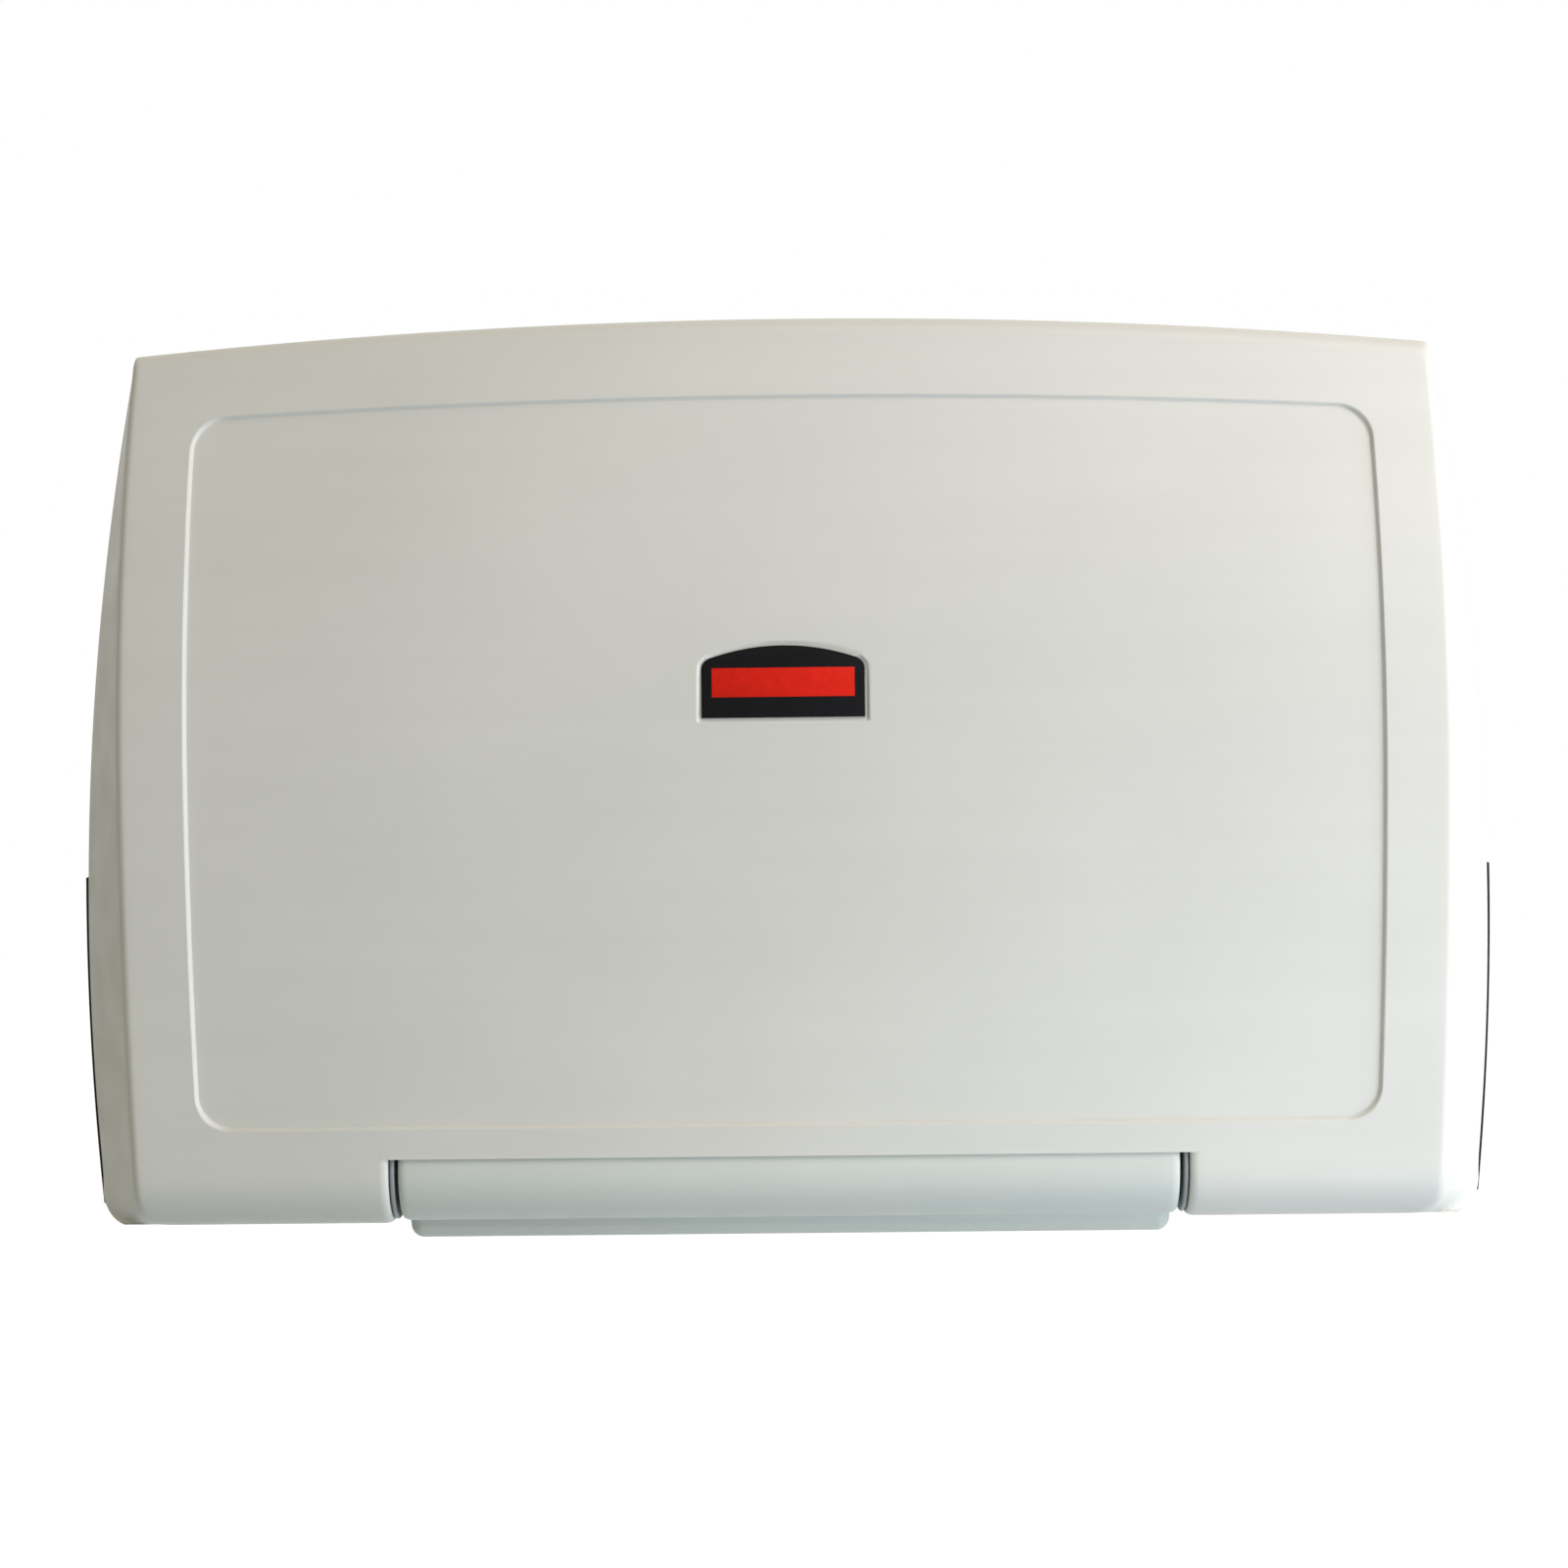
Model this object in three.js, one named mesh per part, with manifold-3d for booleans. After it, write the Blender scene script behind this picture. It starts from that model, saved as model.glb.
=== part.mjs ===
// Fold-down baby changing station for a wall, shown shut: a wall panel with a hinge barrel,
// a two-shell bed that swings down on a steel rod, and two gas springs inside the bed.
// Millimetres, +X to the right, +Y into the wall, +Z up.
// The origin is on the wall, on the centreline, level with the hinge axis.
import * as THREE from "three";
import { mergeVertices } from "three/addons/utils/BufferGeometryUtils.js";
import Module from "manifold-3d";

const wasm = await Module();
wasm.setup();

// Clearances and wall
const GAP = 0.3; // between pieces that touch
const RUN_GAP = 0.4; // round a turning or sliding rod
const WALL = 3; // moulded skin
const OVERCUT = 2; // how far a cutting tool runs past a face

// Bed outline and section
const DEPTH = 102; // wall to front face
const BARREL_RADIUS = 33; // round foot of the bed, about the hinge axis
const HEEL_CLEARANCE = 4; // crank discs to the skin behind them
const TOP_Z = 499.5; // crown of the arched top edge
const ARCH_SAG = 19; // drop of the top edge at ARCH_HALF
const ARCH_HALF = 392;
const RIM_HALF = 420; // half width of the rim where it is widest
const RIM_PEAK_Z = 150;
const RIM_BOW_RADIUS = 1857;
const FLANK_FLARE = 33; // front face inside the rim, on each side
const FACE_PEAK_Z = 260;
const FACE_BOW_RADIUS = 5300;
const CROWN_START_Z = 235; // above this height the front face curves back
const CROWN_SETBACK = 36;
const TOP_EDGE_RADIUS = 12;
const FLANK_FILLET = 4;
const CORNER_RADIUS = 17; // lower corners of the bed, seen from the front

// Sunk panel and badge on the front face
const SUNK_DEPTH = 2.5;
const SUNK_MARGIN = 39; // from the sides of the front face
const SUNK_BOTTOM_Z = 27;
const SUNK_TOP_MARGIN = 48; // below the bed's top edge
const SUNK_SAG = 12.5;
const SUNK_CORNER = 19;
const BADGE_DROP = 220; // badge middle below the bed's top edge
const BADGE_WIDTH = 95;
const BADGE_SIDE_HEIGHT = 33;
const BADGE_ARCH = 9;
const BADGE_CORNER = 5;
const BADGE_THICKNESS = 1;
const BADGE_SINK = 0.5; // badge face below the sunk panel

// Hinge
const ROD_RADIUS = 8;
const BARREL_STEP = 1.5; // centre barrel inside the bed's foot
const CENTRE_BARREL_HALF = 227.5;
const COVE_GAP = 2.6; // between the centre barrel and the bed
const BUSH_WALL = 2.6;
const BUSH_LENGTH = 5;
const BUSH_FLANGE = 1.7;
const RING_THICKNESS = 2.4;
const RING_STEP = 1; // spacer ring inside the centre barrel
const RING_SETBACK = 0.8; // from the bed's barrel end
const LIP_DROP = 12; // wall panel lip below the bed
const LIP_SETBACK = 11; // lip's front behind the hinge axis
const NECK_TOP_Z = 14;
const ARM_THICKNESS = 4;
const OUTER_ARM_INSET = 8; // from the cross rail's ends
const CLIP_THICKNESS = 2;
const CLIP_WALL = 4;
const ROD_END = 3; // rod beyond its clip
const DISC_THICKNESS = 6;
const DISC_RADIUS = 22;
const OPEN_ANGLE = Math.PI / 2;
const STOP_PIN_RADIUS = 3;
const STOP_PIN_WEB = 1.4; // arm between the stop pin, the bush and the arm's edge

// Gas springs
const CRANK_PIN_RADIUS = 2;
const CRANK_PIN_PROUD = 1.2; // pin beyond the yoke
const YOKE_WALL = 1.8;
const YOKE_STEM = 14; // yoke above its slot
const YOKE_PLAY = 0.75; // slot round the crank pin
const GAS_TUBE_RADIUS = 9;
const GAS_ROD_RADIUS = 4;
const GAS_TUBE_LENGTH = 105;
const GAS_TUBE_END = 15; // solid upper end of the tube
const GAS_STUD_RADIUS = 3;
const GAS_STUD_LENGTH = 16;
const GAS_NUT_CLEARANCE = 0.5; // nut corners to the cross rail's web
const GAS_NUT_HEIGHT = 5;
const SERVICE_CLEARANCE = 1; // tube to either skin
const CROSS_RAIL_Z = 200;
const CROSS_RAIL_HEIGHT = 30;
const CROSS_RAIL_MARGIN = 18.5; // from the sides of the front face
const CROSS_RAIL_GAUGE = 2.5;

// Changing tray
const TRAY_FIT = 0.8; // tray inside the bed's rim
const TRAY_EDGE = 26; // flat rim of the tray
const TRAY_EDGE_BOTTOM_Z = 42;
const TRAY_EDGE_TOP_MARGIN = 35; // below the bed's top edge
const TRAY_SLOPE = 40; // side slopes
const TRAY_FOOT_SLOPE = 44;
const TRAY_HEAD_SLOPE = 90;
const TRAY_SCREW_INSET = 13;
const TRAY_SCREW_Z = 70;
const TRAY_SCREW_TOP_MARGIN = 108;

// Belt
const BELT_Z = 235;
const BELT_WIDTH = 38;
const BELT_THICKNESS = 2;
const BELT_ANCHOR_MARGIN = 20; // belt anchors from the tray's side slopes
const ANCHOR_LENGTH = 40;
const ANCHOR_WIDTH = 54;
const ANCHOR_HEIGHT = 5;
const BUCKLE_LENGTH = 50;
const BUCKLE_WIDTH = 52;
const BUCKLE_HEIGHT = 13;
const BUCKLE_WALL = 3;
const TONGUE_LENGTH = 34;
const TONGUE_REACH = 16; // tongue inside the buckle
const TONGUE_HEIGHT = 5;
const BUTTON_SIZE = 20;
const BUTTON_HEIGHT = 4;
const BUTTON_PROUD = 1.2;
const BUTTON_TRAVEL = 2;

// Wall panel
const RIM_GAP = 1.5; // between the shut bed and the panel
const PANEL_INSET = 1; // panel side inside the bed rim
const PANEL_BOTTOM_Z = -28;
const GRIP_DROP = 14; // panel top below the bed top, for fingers
const PANEL_FLANGE = 28;
const RECESS_STANDOFF = 24.5; // recess floor in front of the wall
const PANEL_RECESS_BOTTOM_Z = 46;
const STRIP_PROUD = 2; // edge strip beyond the bed rim
const STRIP_DEPTH = 8.5;
const STRIP_BOTTOM_Z = -25;
const STRIP_TOP_Z = 172;
const BUMPER_RADIUS = 7;
const BUMPER_STEM = 3;
const BUMPER_TOP_MARGIN = 75; // below the bed's top edge

// Liner pocket and its lift-off cover
const POCKET_HALF = 150;
const POCKET_TOP_MARGIN = 73; // below the bed's top edge
const POCKET_HEIGHT = 130;
const POCKET_DEPTH = 15;
const COVER_MARGIN = 11; // cover beyond the pocket
const COVER_FLANGE = 11;
const COVER_PLATE = 3;
const COVER_RISE = 9;
const COVER_LIFT = 13;
const COVER_LEDGE_HALF = 40;
const COVER_LEDGE_HEIGHT = 5;
const CLIP_HEIGHT = 12;
const CLIP_REACH = 6;
const CLIP_POST = 4;
const CLIP_RISES = [22, 102]; // above the pocket's floor
const LINER_SLOT_HALF = 85;
const LINER_SLOT_HEIGHT = 24;
const LINER_SLOT_RISE = 28; // above the pocket's floor

// Bag hooks
const HOOK_MARGIN = 130; // bag hooks from the bed's widest side
const HOOK_Z = 225;
const HOOK_BASE_HEIGHT = 50;
const HOOK_BASE_HALF = 14;
const HOOK_BASE_THICKNESS = 4;
const HOOK_HALF = 7;
const HOOK_BAR = 6;
const HOOK_THROAT = 15;
const HOOK_TIP = 24;
const HOOK_BAR_Z = 8;
const HOOK_SCREW_Z = 40;

// Steel mounting frame on the wall
const STUD_SPACING = 406.4; // wall studs on 16 inch centres
const GAUGE = 3;
const RAIL_WIDTH = 40;
const RAIL_TOP_MARGIN = 48; // below the bed's top edge
const RAIL_FLANGE = 12;
const RAIL_SLOT_LENGTH = 25;
const RAIL_SLOT_WIDTH = 10;
const RAIL_SLOT_FOOT_Z = 45;
const RAIL_SLOT_MIDDLE_Z = 240;
const RAIL_SLOT_TOP_INSET = 23;
const HINGE_RAIL_TOP_Z = 8;
const HINGE_RAIL_BOTTOM_Z = -40;
const HINGE_RAIL_MARGIN = 9.5; // inside the centre barrel's ends
const BRACKET_XS = { left: -150, centre: 0, right: 150 };
const BRACKET_THICKNESS = 4;
const BRACKET_RING_RADIUS = 13;
const PANEL_SCREW_Z = 110;
const PANEL_SCREW_TOP_MARGIN = 113;

// Screws
const PANEL_SCREW = { head: 6, headHeight: 3.2, shank: 3, boss: 7 };
const HOOK_SCREW = { head: 4.5, headHeight: 2.4, shank: 2, length: 14 };
const TRAY_SCREW = { head: 4.2, headHeight: 2.4, shank: 2, length: 18, boss: 6 };

// Mesh fineness
const ROUND = 24;
const SMALL_ROUND = 12;
const FOOT_STEPS = 8;
const FOOT_START = THREE.MathUtils.degToRad(12);
const FACE_STEPS = 9;
const EDGE_STEPS = 4;
const FILLET_STEPS = 3;
const FACE_COLUMNS = 5; // columns across each half of the front face
const SIDE_STEPS = 8;
const ARCH_STEPS = 12;
const SLOPE_STEPS = 4;

// Places that follow from the sizes above
const FACE_HALF = RIM_HALF - FLANK_FLARE;
const CROSS_RAIL_HALF = FACE_HALF - CROSS_RAIL_MARGIN;
const OUTER_ARM_X = CROSS_RAIL_HALF - OUTER_ARM_INSET;
const HINGE_Y = -(DEPTH - BARREL_RADIUS);
const RIM_Y = HINGE_Y + DISC_RADIUS + HEEL_CLEARANCE + WALL;
const PANEL_Y = RIM_Y + RIM_GAP;
const RECESS_Y = -RECESS_STANDOFF;
const SUNK_TOP_Z = TOP_Z - SUNK_TOP_MARGIN;
const BADGE_Z = TOP_Z - BADGE_DROP;
const TRAY_EDGE_TOP_Z = TOP_Z - TRAY_EDGE_TOP_MARGIN;
const TRAY_SCREW_HEIGHTS = { lower: TRAY_SCREW_Z, upper: TOP_Z - TRAY_SCREW_TOP_MARGIN };
const BUMPER_Z = TOP_Z - BUMPER_TOP_MARGIN;
const POCKET_TOP_Z = TOP_Z - POCKET_TOP_MARGIN;
const POCKET_BOTTOM_Z = POCKET_TOP_Z - POCKET_HEIGHT;
const HOOK_X = RIM_HALF - HOOK_MARGIN;
const CLIP_HEIGHTS = CLIP_RISES.map((rise) => POCKET_BOTTOM_Z + rise);
const LINER_SLOT_Z = POCKET_BOTTOM_Z + LINER_SLOT_RISE;
const RAIL_TOP_Z = TOP_Z - RAIL_TOP_MARGIN;
const RAIL_SLOT_HEIGHTS = [RAIL_SLOT_FOOT_Z, RAIL_SLOT_MIDDLE_Z, RAIL_TOP_Z - RAIL_SLOT_TOP_INSET];
const HINGE_RAIL_HALF = CENTRE_BARREL_HALF - WALL - HINGE_RAIL_MARGIN;
const PANEL_SCREW_HEIGHTS = { lower: PANEL_SCREW_Z, upper: TOP_Z - PANEL_SCREW_TOP_MARGIN };
const FACE_SKIN = WALL + SUNK_DEPTH;
const INNER_FACE_Y = -(DEPTH - FACE_SKIN);
const SERVICE_GAP = 2 * (GAS_TUBE_RADIUS + SERVICE_CLEARANCE);
const TRAY_BACK_Y = INNER_FACE_Y + SERVICE_GAP;
const TRAY_FLOOR_Y = TRAY_BACK_Y + WALL;
const GAS_Y = INNER_FACE_Y + SERVICE_GAP / 2;
const CENTRE_BARREL_RADIUS = BARREL_RADIUS - BARREL_STEP;
const RING_RADIUS = CENTRE_BARREL_RADIUS - RING_STEP;
const COVE_RADIUS = CENTRE_BARREL_RADIUS + COVE_GAP;
const RING_X = CENTRE_BARREL_HALF + GAP + BUSH_FLANGE + GAP;
const BED_BARREL_X = RING_X + RING_THICKNESS + RING_SETBACK;
const BUSH_RADIUS = ROD_RADIUS + RUN_GAP + BUSH_WALL;
const STOP_PIN_ORBIT = BUSH_RADIUS + GAP + STOP_PIN_WEB + GAP + STOP_PIN_RADIUS;
const ARM_RING_RADIUS = STOP_PIN_ORBIT + STOP_PIN_RADIUS + GAP + STOP_PIN_WEB;
const INNER_ARM_X = BED_BARREL_X + WALL + GAP;
const DISC_X = INNER_ARM_X + ARM_THICKNESS + GAP;
const CRANK_X = DISC_X + DISC_THICKNESS;
const YOKE_THICKNESS = 2 * GAS_ROD_RADIUS;
const CRANK_PIN_LENGTH = GAP + YOKE_THICKNESS + CRANK_PIN_PROUD;
const GAS_X = CRANK_X + GAP + YOKE_THICKNESS / 2;
const CLIP_X = OUTER_ARM_X + ARM_THICKNESS + GAP;
const ROD_HALF = CLIP_X + CLIP_THICKNESS + ROD_END;
const GAS_TUBE_TOP_Z = CROSS_RAIL_Z - GAP;
const GAS_TUBE_Z = GAS_TUBE_TOP_Z - GAS_TUBE_LENGTH;
const GAS_NUT_RADIUS = GAS_TUBE_RADIUS - GAP - CROSS_RAIL_GAUGE - GAS_NUT_CLEARANCE;
const YOKE_SLOT = CRANK_PIN_RADIUS + YOKE_PLAY;
const CRANK_REACH = ROD_RADIUS + RUN_GAP + YOKE_SLOT + YOKE_WALL; // yoke passes the rod
const CRANK_ORBIT = CRANK_REACH / Math.cos(OPEN_ANGLE / 2);
const CRANK_START = Math.PI + OPEN_ANGLE / 2; // crank pin, from +Y towards +Z, bed shut
const PIN_Y = CRANK_ORBIT * Math.cos(CRANK_START);
const PIN_Z = CRANK_ORBIT * Math.sin(CRANK_START);
const RAIL_X = STUD_SPACING / 2;
const LIP_Y = HINGE_Y + LIP_SETBACK;
const LIP_Z = -(BARREL_RADIUS + LIP_DROP);
const SIDES = { left: -1, right: 1 };

// Finishes
const finish = (color, roughness, metalness) =>
  new THREE.MeshStandardMaterial({ color, roughness, metalness });
const SHELL = finish(0xd3d1ca, 0.45, 0);
const GREY_PLASTIC = finish(0x8f9496, 0.5, 0);
const BLACK_RUBBER = finish(0x1d1e1f, 0.8, 0);
const BLACK_PLASTIC = finish(0x191a1c, 0.4, 0);
const BUTTON_RED = finish(0xb8261c, 0.4, 0);
const BADGE = finish(0x141414, 0.35, 0);
const NYLON = finish(0xe9e6dc, 0.6, 0);
const WEBBING = finish(0x2b2d30, 0.9, 0);
const ZINC_STEEL = finish(0xa9adb0, 0.4, 0.9);
const GAS_BLACK = finish(0x202224, 0.35, 0.6);
const POLISHED_STEEL = finish(0xc9ccce, 0.2, 1);

// Solids from three.js geometries

// Turns a closed geometry into a solid that can be joined and cut.
function solidOf(geometry) {
  const bare = new THREE.BufferGeometry();
  bare.setAttribute("position", geometry.getAttribute("position"));
  bare.setIndex(geometry.index);
  const merged = mergeVertices(bare, 1e-4);
  return new wasm.Manifold(
    new wasm.Mesh({
      numProp: 3,
      vertProperties: merged.getAttribute("position").array,
      triVerts: new Uint32Array(merged.index.array),
    }),
  );
}

// Turns a solid back into a geometry.
function geometryOf(solid) {
  const { vertProperties, triVerts } = solid.getMesh();
  const geometry = new THREE.BufferGeometry();
  geometry.setAttribute("position", new THREE.BufferAttribute(new Float32Array(vertProperties), 3));
  geometry.setIndex(new THREE.BufferAttribute(new Uint32Array(triVerts), 1));
  geometry.computeVertexNormals();
  return geometry;
}

const join = (...solids) => solids.reduce((sum, solid) => sum.add(solid));
const cut = (solid, ...tools) => tools.reduce((rest, tool) => rest.subtract(tool), solid);

// A block between two corners, given as ranges along each axis.
function block([x0, x1], [y0, y1], [z0, z1]) {
  const geometry = new THREE.BoxGeometry(Math.abs(x1 - x0), y1 - y0, z1 - z0);
  return solidOf(geometry.translate((x0 + x1) / 2, (y0 + y1) / 2, (z0 + z1) / 2));
}

const AXIS_X = new THREE.Vector3(1, 0, 0);
const AXIS_Y = new THREE.Vector3(0, 1, 0);
const AXIS_Z = new THREE.Vector3(0, 0, 1);
const FACING_X = new THREE.Matrix4().makeBasis(AXIS_Y, AXIS_Z, AXIS_X);
const FACING_FRONT = new THREE.Matrix4().makeBasis(AXIS_X, AXIS_Z, AXIS_Y.clone().negate());

function extrude(points, start, length, facing) {
  const shape = new THREE.Shape(points.map(([a, b]) => new THREE.Vector2(a, b)));
  const geometry = new THREE.ExtrudeGeometry(shape, { depth: length, bevelEnabled: false });
  return solidOf(geometry.translate(0, 0, start).applyMatrix4(facing));
}

// An outline of (y, z) points extruded between two places along X.
const alongX = (points, xa, xb) =>
  extrude(points, Math.min(xa, xb), Math.abs(xb - xa), FACING_X);

// An outline of (x, z) points extruded between two places along Y.
const alongY = (points, yBack, yFront) => extrude(points, -yBack, yBack - yFront, FACING_FRONT);

// A round bar along X, at (y, z).
function barX(radius, xa, xb, y, z, sides = ROUND) {
  const geometry = new THREE.CylinderGeometry(radius, radius, Math.abs(xb - xa), sides);
  return solidOf(geometry.rotateZ(Math.PI / 2).translate((xa + xb) / 2, y, z));
}

// A round bar along Y, at (x, z).
function barY(radius, ya, yb, x, z, sides = SMALL_ROUND) {
  const geometry = new THREE.CylinderGeometry(radius, radius, Math.abs(yb - ya), sides);
  return solidOf(geometry.translate(x, (ya + yb) / 2, z));
}

// A profile of (radius, height) points turned about an axis along +Y.
function turned(profile, sides = SMALL_ROUND) {
  return solidOf(new THREE.LatheGeometry(profile.map(([r, h]) => new THREE.Vector2(r, h)), sides));
}

// Triangles that close a ring which runs out along +X and back again.
function capOf(ring) {
  const triangles = [];
  let [near, far] = [0, ring.length - 1];
  while (far - near > 1) {
    const nearFirst = ring[near + 1].x <= ring[far - 1].x;
    triangles.push(nearFirst ? [near, near + 1, far] : [near, far - 1, far]);
    if (nearFirst) near += 1;
    else far -= 1;
  }
  return triangles;
}

// A solid skinned over a stack of rings, each with the same number of points.
function loft(rings) {
  const count = rings[0].length;
  const last = (rings.length - 1) * count;
  const index = [];
  for (let i = 0; i < last; i += count) {
    for (let k = 0; k < count; k++) {
      const [a, b] = [i + k, i + ((k + 1) % count)];
      index.push(a, b, b + count, a, b + count, a + count);
    }
  }
  capOf(rings[0]).forEach(([a, b, c]) => index.push(a, c, b));
  capOf(rings[rings.length - 1]).forEach((triangle) => index.push(...triangle.map((a) => a + last)));
  const geometry = new THREE.BufferGeometry().setFromPoints(rings.flat());
  return solidOf(geometry.setIndex(index));
}

// An outline whose corners, given as (a, b, radius), are rounded where a radius is given.
function rounded(corners) {
  return corners.flatMap(([a, b, radius = 0], i) => {
    if (!radius) return [[a, b]];
    const here = new THREE.Vector2(a, b);
    const towards = (other) => {
      const step = new THREE.Vector2(other[0], other[1]).sub(here);
      return here.clone().add(step.setLength(Math.min(radius, step.length() * 0.45)));
    };
    const before = towards(corners[(i + corners.length - 1) % corners.length]);
    const after = towards(corners[(i + 1) % corners.length]);
    const bend = new THREE.QuadraticBezierCurve(before, here, after);
    return bend.getPoints(FILLET_STEPS).map((p) => [p.x, p.y]);
  });
}

const { lerp, clamp, smoothstep } = THREE.MathUtils;
const steps = (from, to, count) =>
  Array.from({ length: count + 1 }, (_, i) => lerp(from, to, i / count));

// A mesh of the object, with its name and finish.
function piece(name, solid, material) {
  const mesh = new THREE.Mesh(geometryOf(solid), material);
  mesh.name = name;
  return mesh;
}

// The bed's curves

const rimHalf = (z) => RIM_HALF - (z - RIM_PEAK_Z) ** 2 / (2 * RIM_BOW_RADIUS);
const faceHalf = (z) => FACE_HALF - (z - FACE_PEAK_Z) ** 2 / (2 * FACE_BOW_RADIUS);
const archDrop = (x, z) => ARCH_SAG * (x / ARCH_HALF) ** 2 * clamp(z / TOP_Z, 0, 1);

// The front face, which is upright at the hinge and curves back towards the top.
function faceY(z) {
  const share = Math.max(0, z - CROWN_START_Z) / (TOP_Z - CROWN_START_Z);
  return -DEPTH + CROWN_SETBACK * share ** 2;
}

// How far the lower corners of the bed draw in at a height.
function cornerDrop(z) {
  const up = clamp(z + BARREL_RADIUS, 0, CORNER_RADIUS);
  return CORNER_RADIUS - Math.sqrt(CORNER_RADIUS ** 2 - (CORNER_RADIUS - up) ** 2);
}

// Half width of the bed's hollow at a height and depth.
function hollowHalf(z, y) {
  const mouthY = RIM_Y + OVERCUT;
  const share = (mouthY - y) / (mouthY - faceY(z) - FACE_SKIN);
  return lerp(rimHalf(z), faceHalf(z), share) - WALL;
}

// One level ring of the bed's block: flanks, rounded front edges, front face and open rear.
function bedRing({ z, front, back }, inset) {
  const drop = cornerDrop(z) + inset;
  const rim = rimHalf(z) - drop;
  const face = faceHalf(z) - drop;
  const edge = rounded([[0, front], [face, front, FLANK_FILLET], [rim, back]]).slice(1, -1);
  const columns = steps(0, edge[0][0], FACE_COLUMNS).slice(1, -1);
  const right = [...columns.map((x) => [x, front]), ...edge, [rim, back]];
  const left = right.map(([x, y]) => [-x, y]).reverse();
  const rear = steps(rim, -rim, 2 * FACE_COLUMNS).slice(1, -1);
  const ring = [...left, [0, front], ...right, ...rear.map((x) => [x, back])];
  return ring.map(([x, y]) => new THREE.Vector3(x, y, z - archDrop(x, z)));
}

// The bed's block, drawn in by a skin: side on the flanks, foot and top, front on the face.
// A drawn-in block runs out through the rim, so that it hollows the bed.
function bedBlock(side = 0, front = 0) {
  const foot = BARREL_RADIUS - side;
  const heel = HINGE_Y - RIM_Y + side;
  const back = side ? RIM_Y + OVERCUT : RIM_Y;
  const edgeRadius = TOP_EDGE_RADIUS - side;
  const edgeZ = TOP_Z - side - edgeRadius;
  const rows = steps(FOOT_START, Math.PI / 2, FOOT_STEPS).map((angle) => ({
    z: -foot * Math.cos(angle),
    front: HINGE_Y - foot * Math.sin(angle),
    back: HINGE_Y - heel * Math.sin(angle),
  }));
  for (const z of steps(WALL, edgeZ, FACE_STEPS)) {
    rows.push({ z, front: faceY(z) + front, back });
  }
  for (const angle of steps(0, Math.PI / 2, EDGE_STEPS).slice(1)) {
    rows.push({
      z: edgeZ + edgeRadius * Math.sin(angle),
      front: faceY(edgeZ) + front + edgeRadius * (1 - Math.cos(angle)),
      back,
    });
  }
  return loft(rows.map((row) => bedRing(row, side)));
}

// Side, top and bottom of an outline that follows the bed: inset from the rim, arched at the top.
function bowedOutline(half, bottomZ, topZ, sag, corner) {
  const sideTop = topZ - sag * (half(topZ) / ARCH_HALF) ** 2;
  const rise = steps(bottomZ, sideTop, SIDE_STEPS).slice(1, -1);
  const arch = steps(half(sideTop), -half(sideTop), ARCH_STEPS).slice(1, -1);
  return rounded([
    [-half(bottomZ), bottomZ, corner],
    [half(bottomZ), bottomZ, corner],
    ...rise.map((z) => [half(z), z]),
    [half(sideTop), sideTop, corner],
    ...arch.map((x) => [x, topZ - sag * (x / ARCH_HALF) ** 2]),
    [-half(sideTop), sideTop, corner],
    ...rise.reverse().map((z) => [-half(z), z]),
  ]);
}

// Bed shells

const traySeats = Object.entries(SIDES).flatMap(([side, sign]) =>
  Object.entries(TRAY_SCREW_HEIGHTS).map(([level, z]) => ({
    name: `tray_screw_${side}_${level}`,
    x: sign * (trayHalf(z) - TRAY_SCREW_INSET),
    z,
  })),
);

// The cut that lets the bed wrap the centre barrel and its neck, with an allowance round it.
function coveTool(grow) {
  const half = BED_BARREL_X + grow;
  const reach = COVE_RADIUS + grow;
  return join(
    barX(reach, -half, half, HINGE_Y, 0, 2 * ROUND),
    block([-half, half], [HINGE_Y, RIM_Y + OVERCUT], [-reach, NECK_TOP_Z + COVE_GAP + grow]),
  );
}

// The badge's place on the curved face: its foot on the sunk panel, tilted with the face.
function badgeGroup() {
  const group = new THREE.Group();
  const rise = faceY(BADGE_Z + BADGE_SIDE_HEIGHT) - faceY(BADGE_Z);
  group.position.set(0, faceY(BADGE_Z) + SUNK_DEPTH, BADGE_Z);
  group.rotation.x = -Math.atan2(rise, BADGE_SIDE_HEIGHT);
  group.updateMatrix();
  return group;
}

// Arch-topped badge outline, grown by an allowance, centred on its side height.
function badgeOutline(grow) {
  const half = BADGE_WIDTH / 2 + grow;
  const foot = -BADGE_SIDE_HEIGHT / 2 - grow;
  const head = BADGE_SIDE_HEIGHT / 2 + grow;
  const arch = steps(half, -half, ARCH_STEPS).slice(1, -1);
  return rounded([
    [-half, foot],
    [half, foot],
    [half, head, BADGE_CORNER + grow],
    ...arch.map((x) => [x, head + BADGE_ARCH * (1 - (x / half) ** 2)]),
    [-half, head, BADGE_CORNER + grow],
  ]);
}

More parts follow.
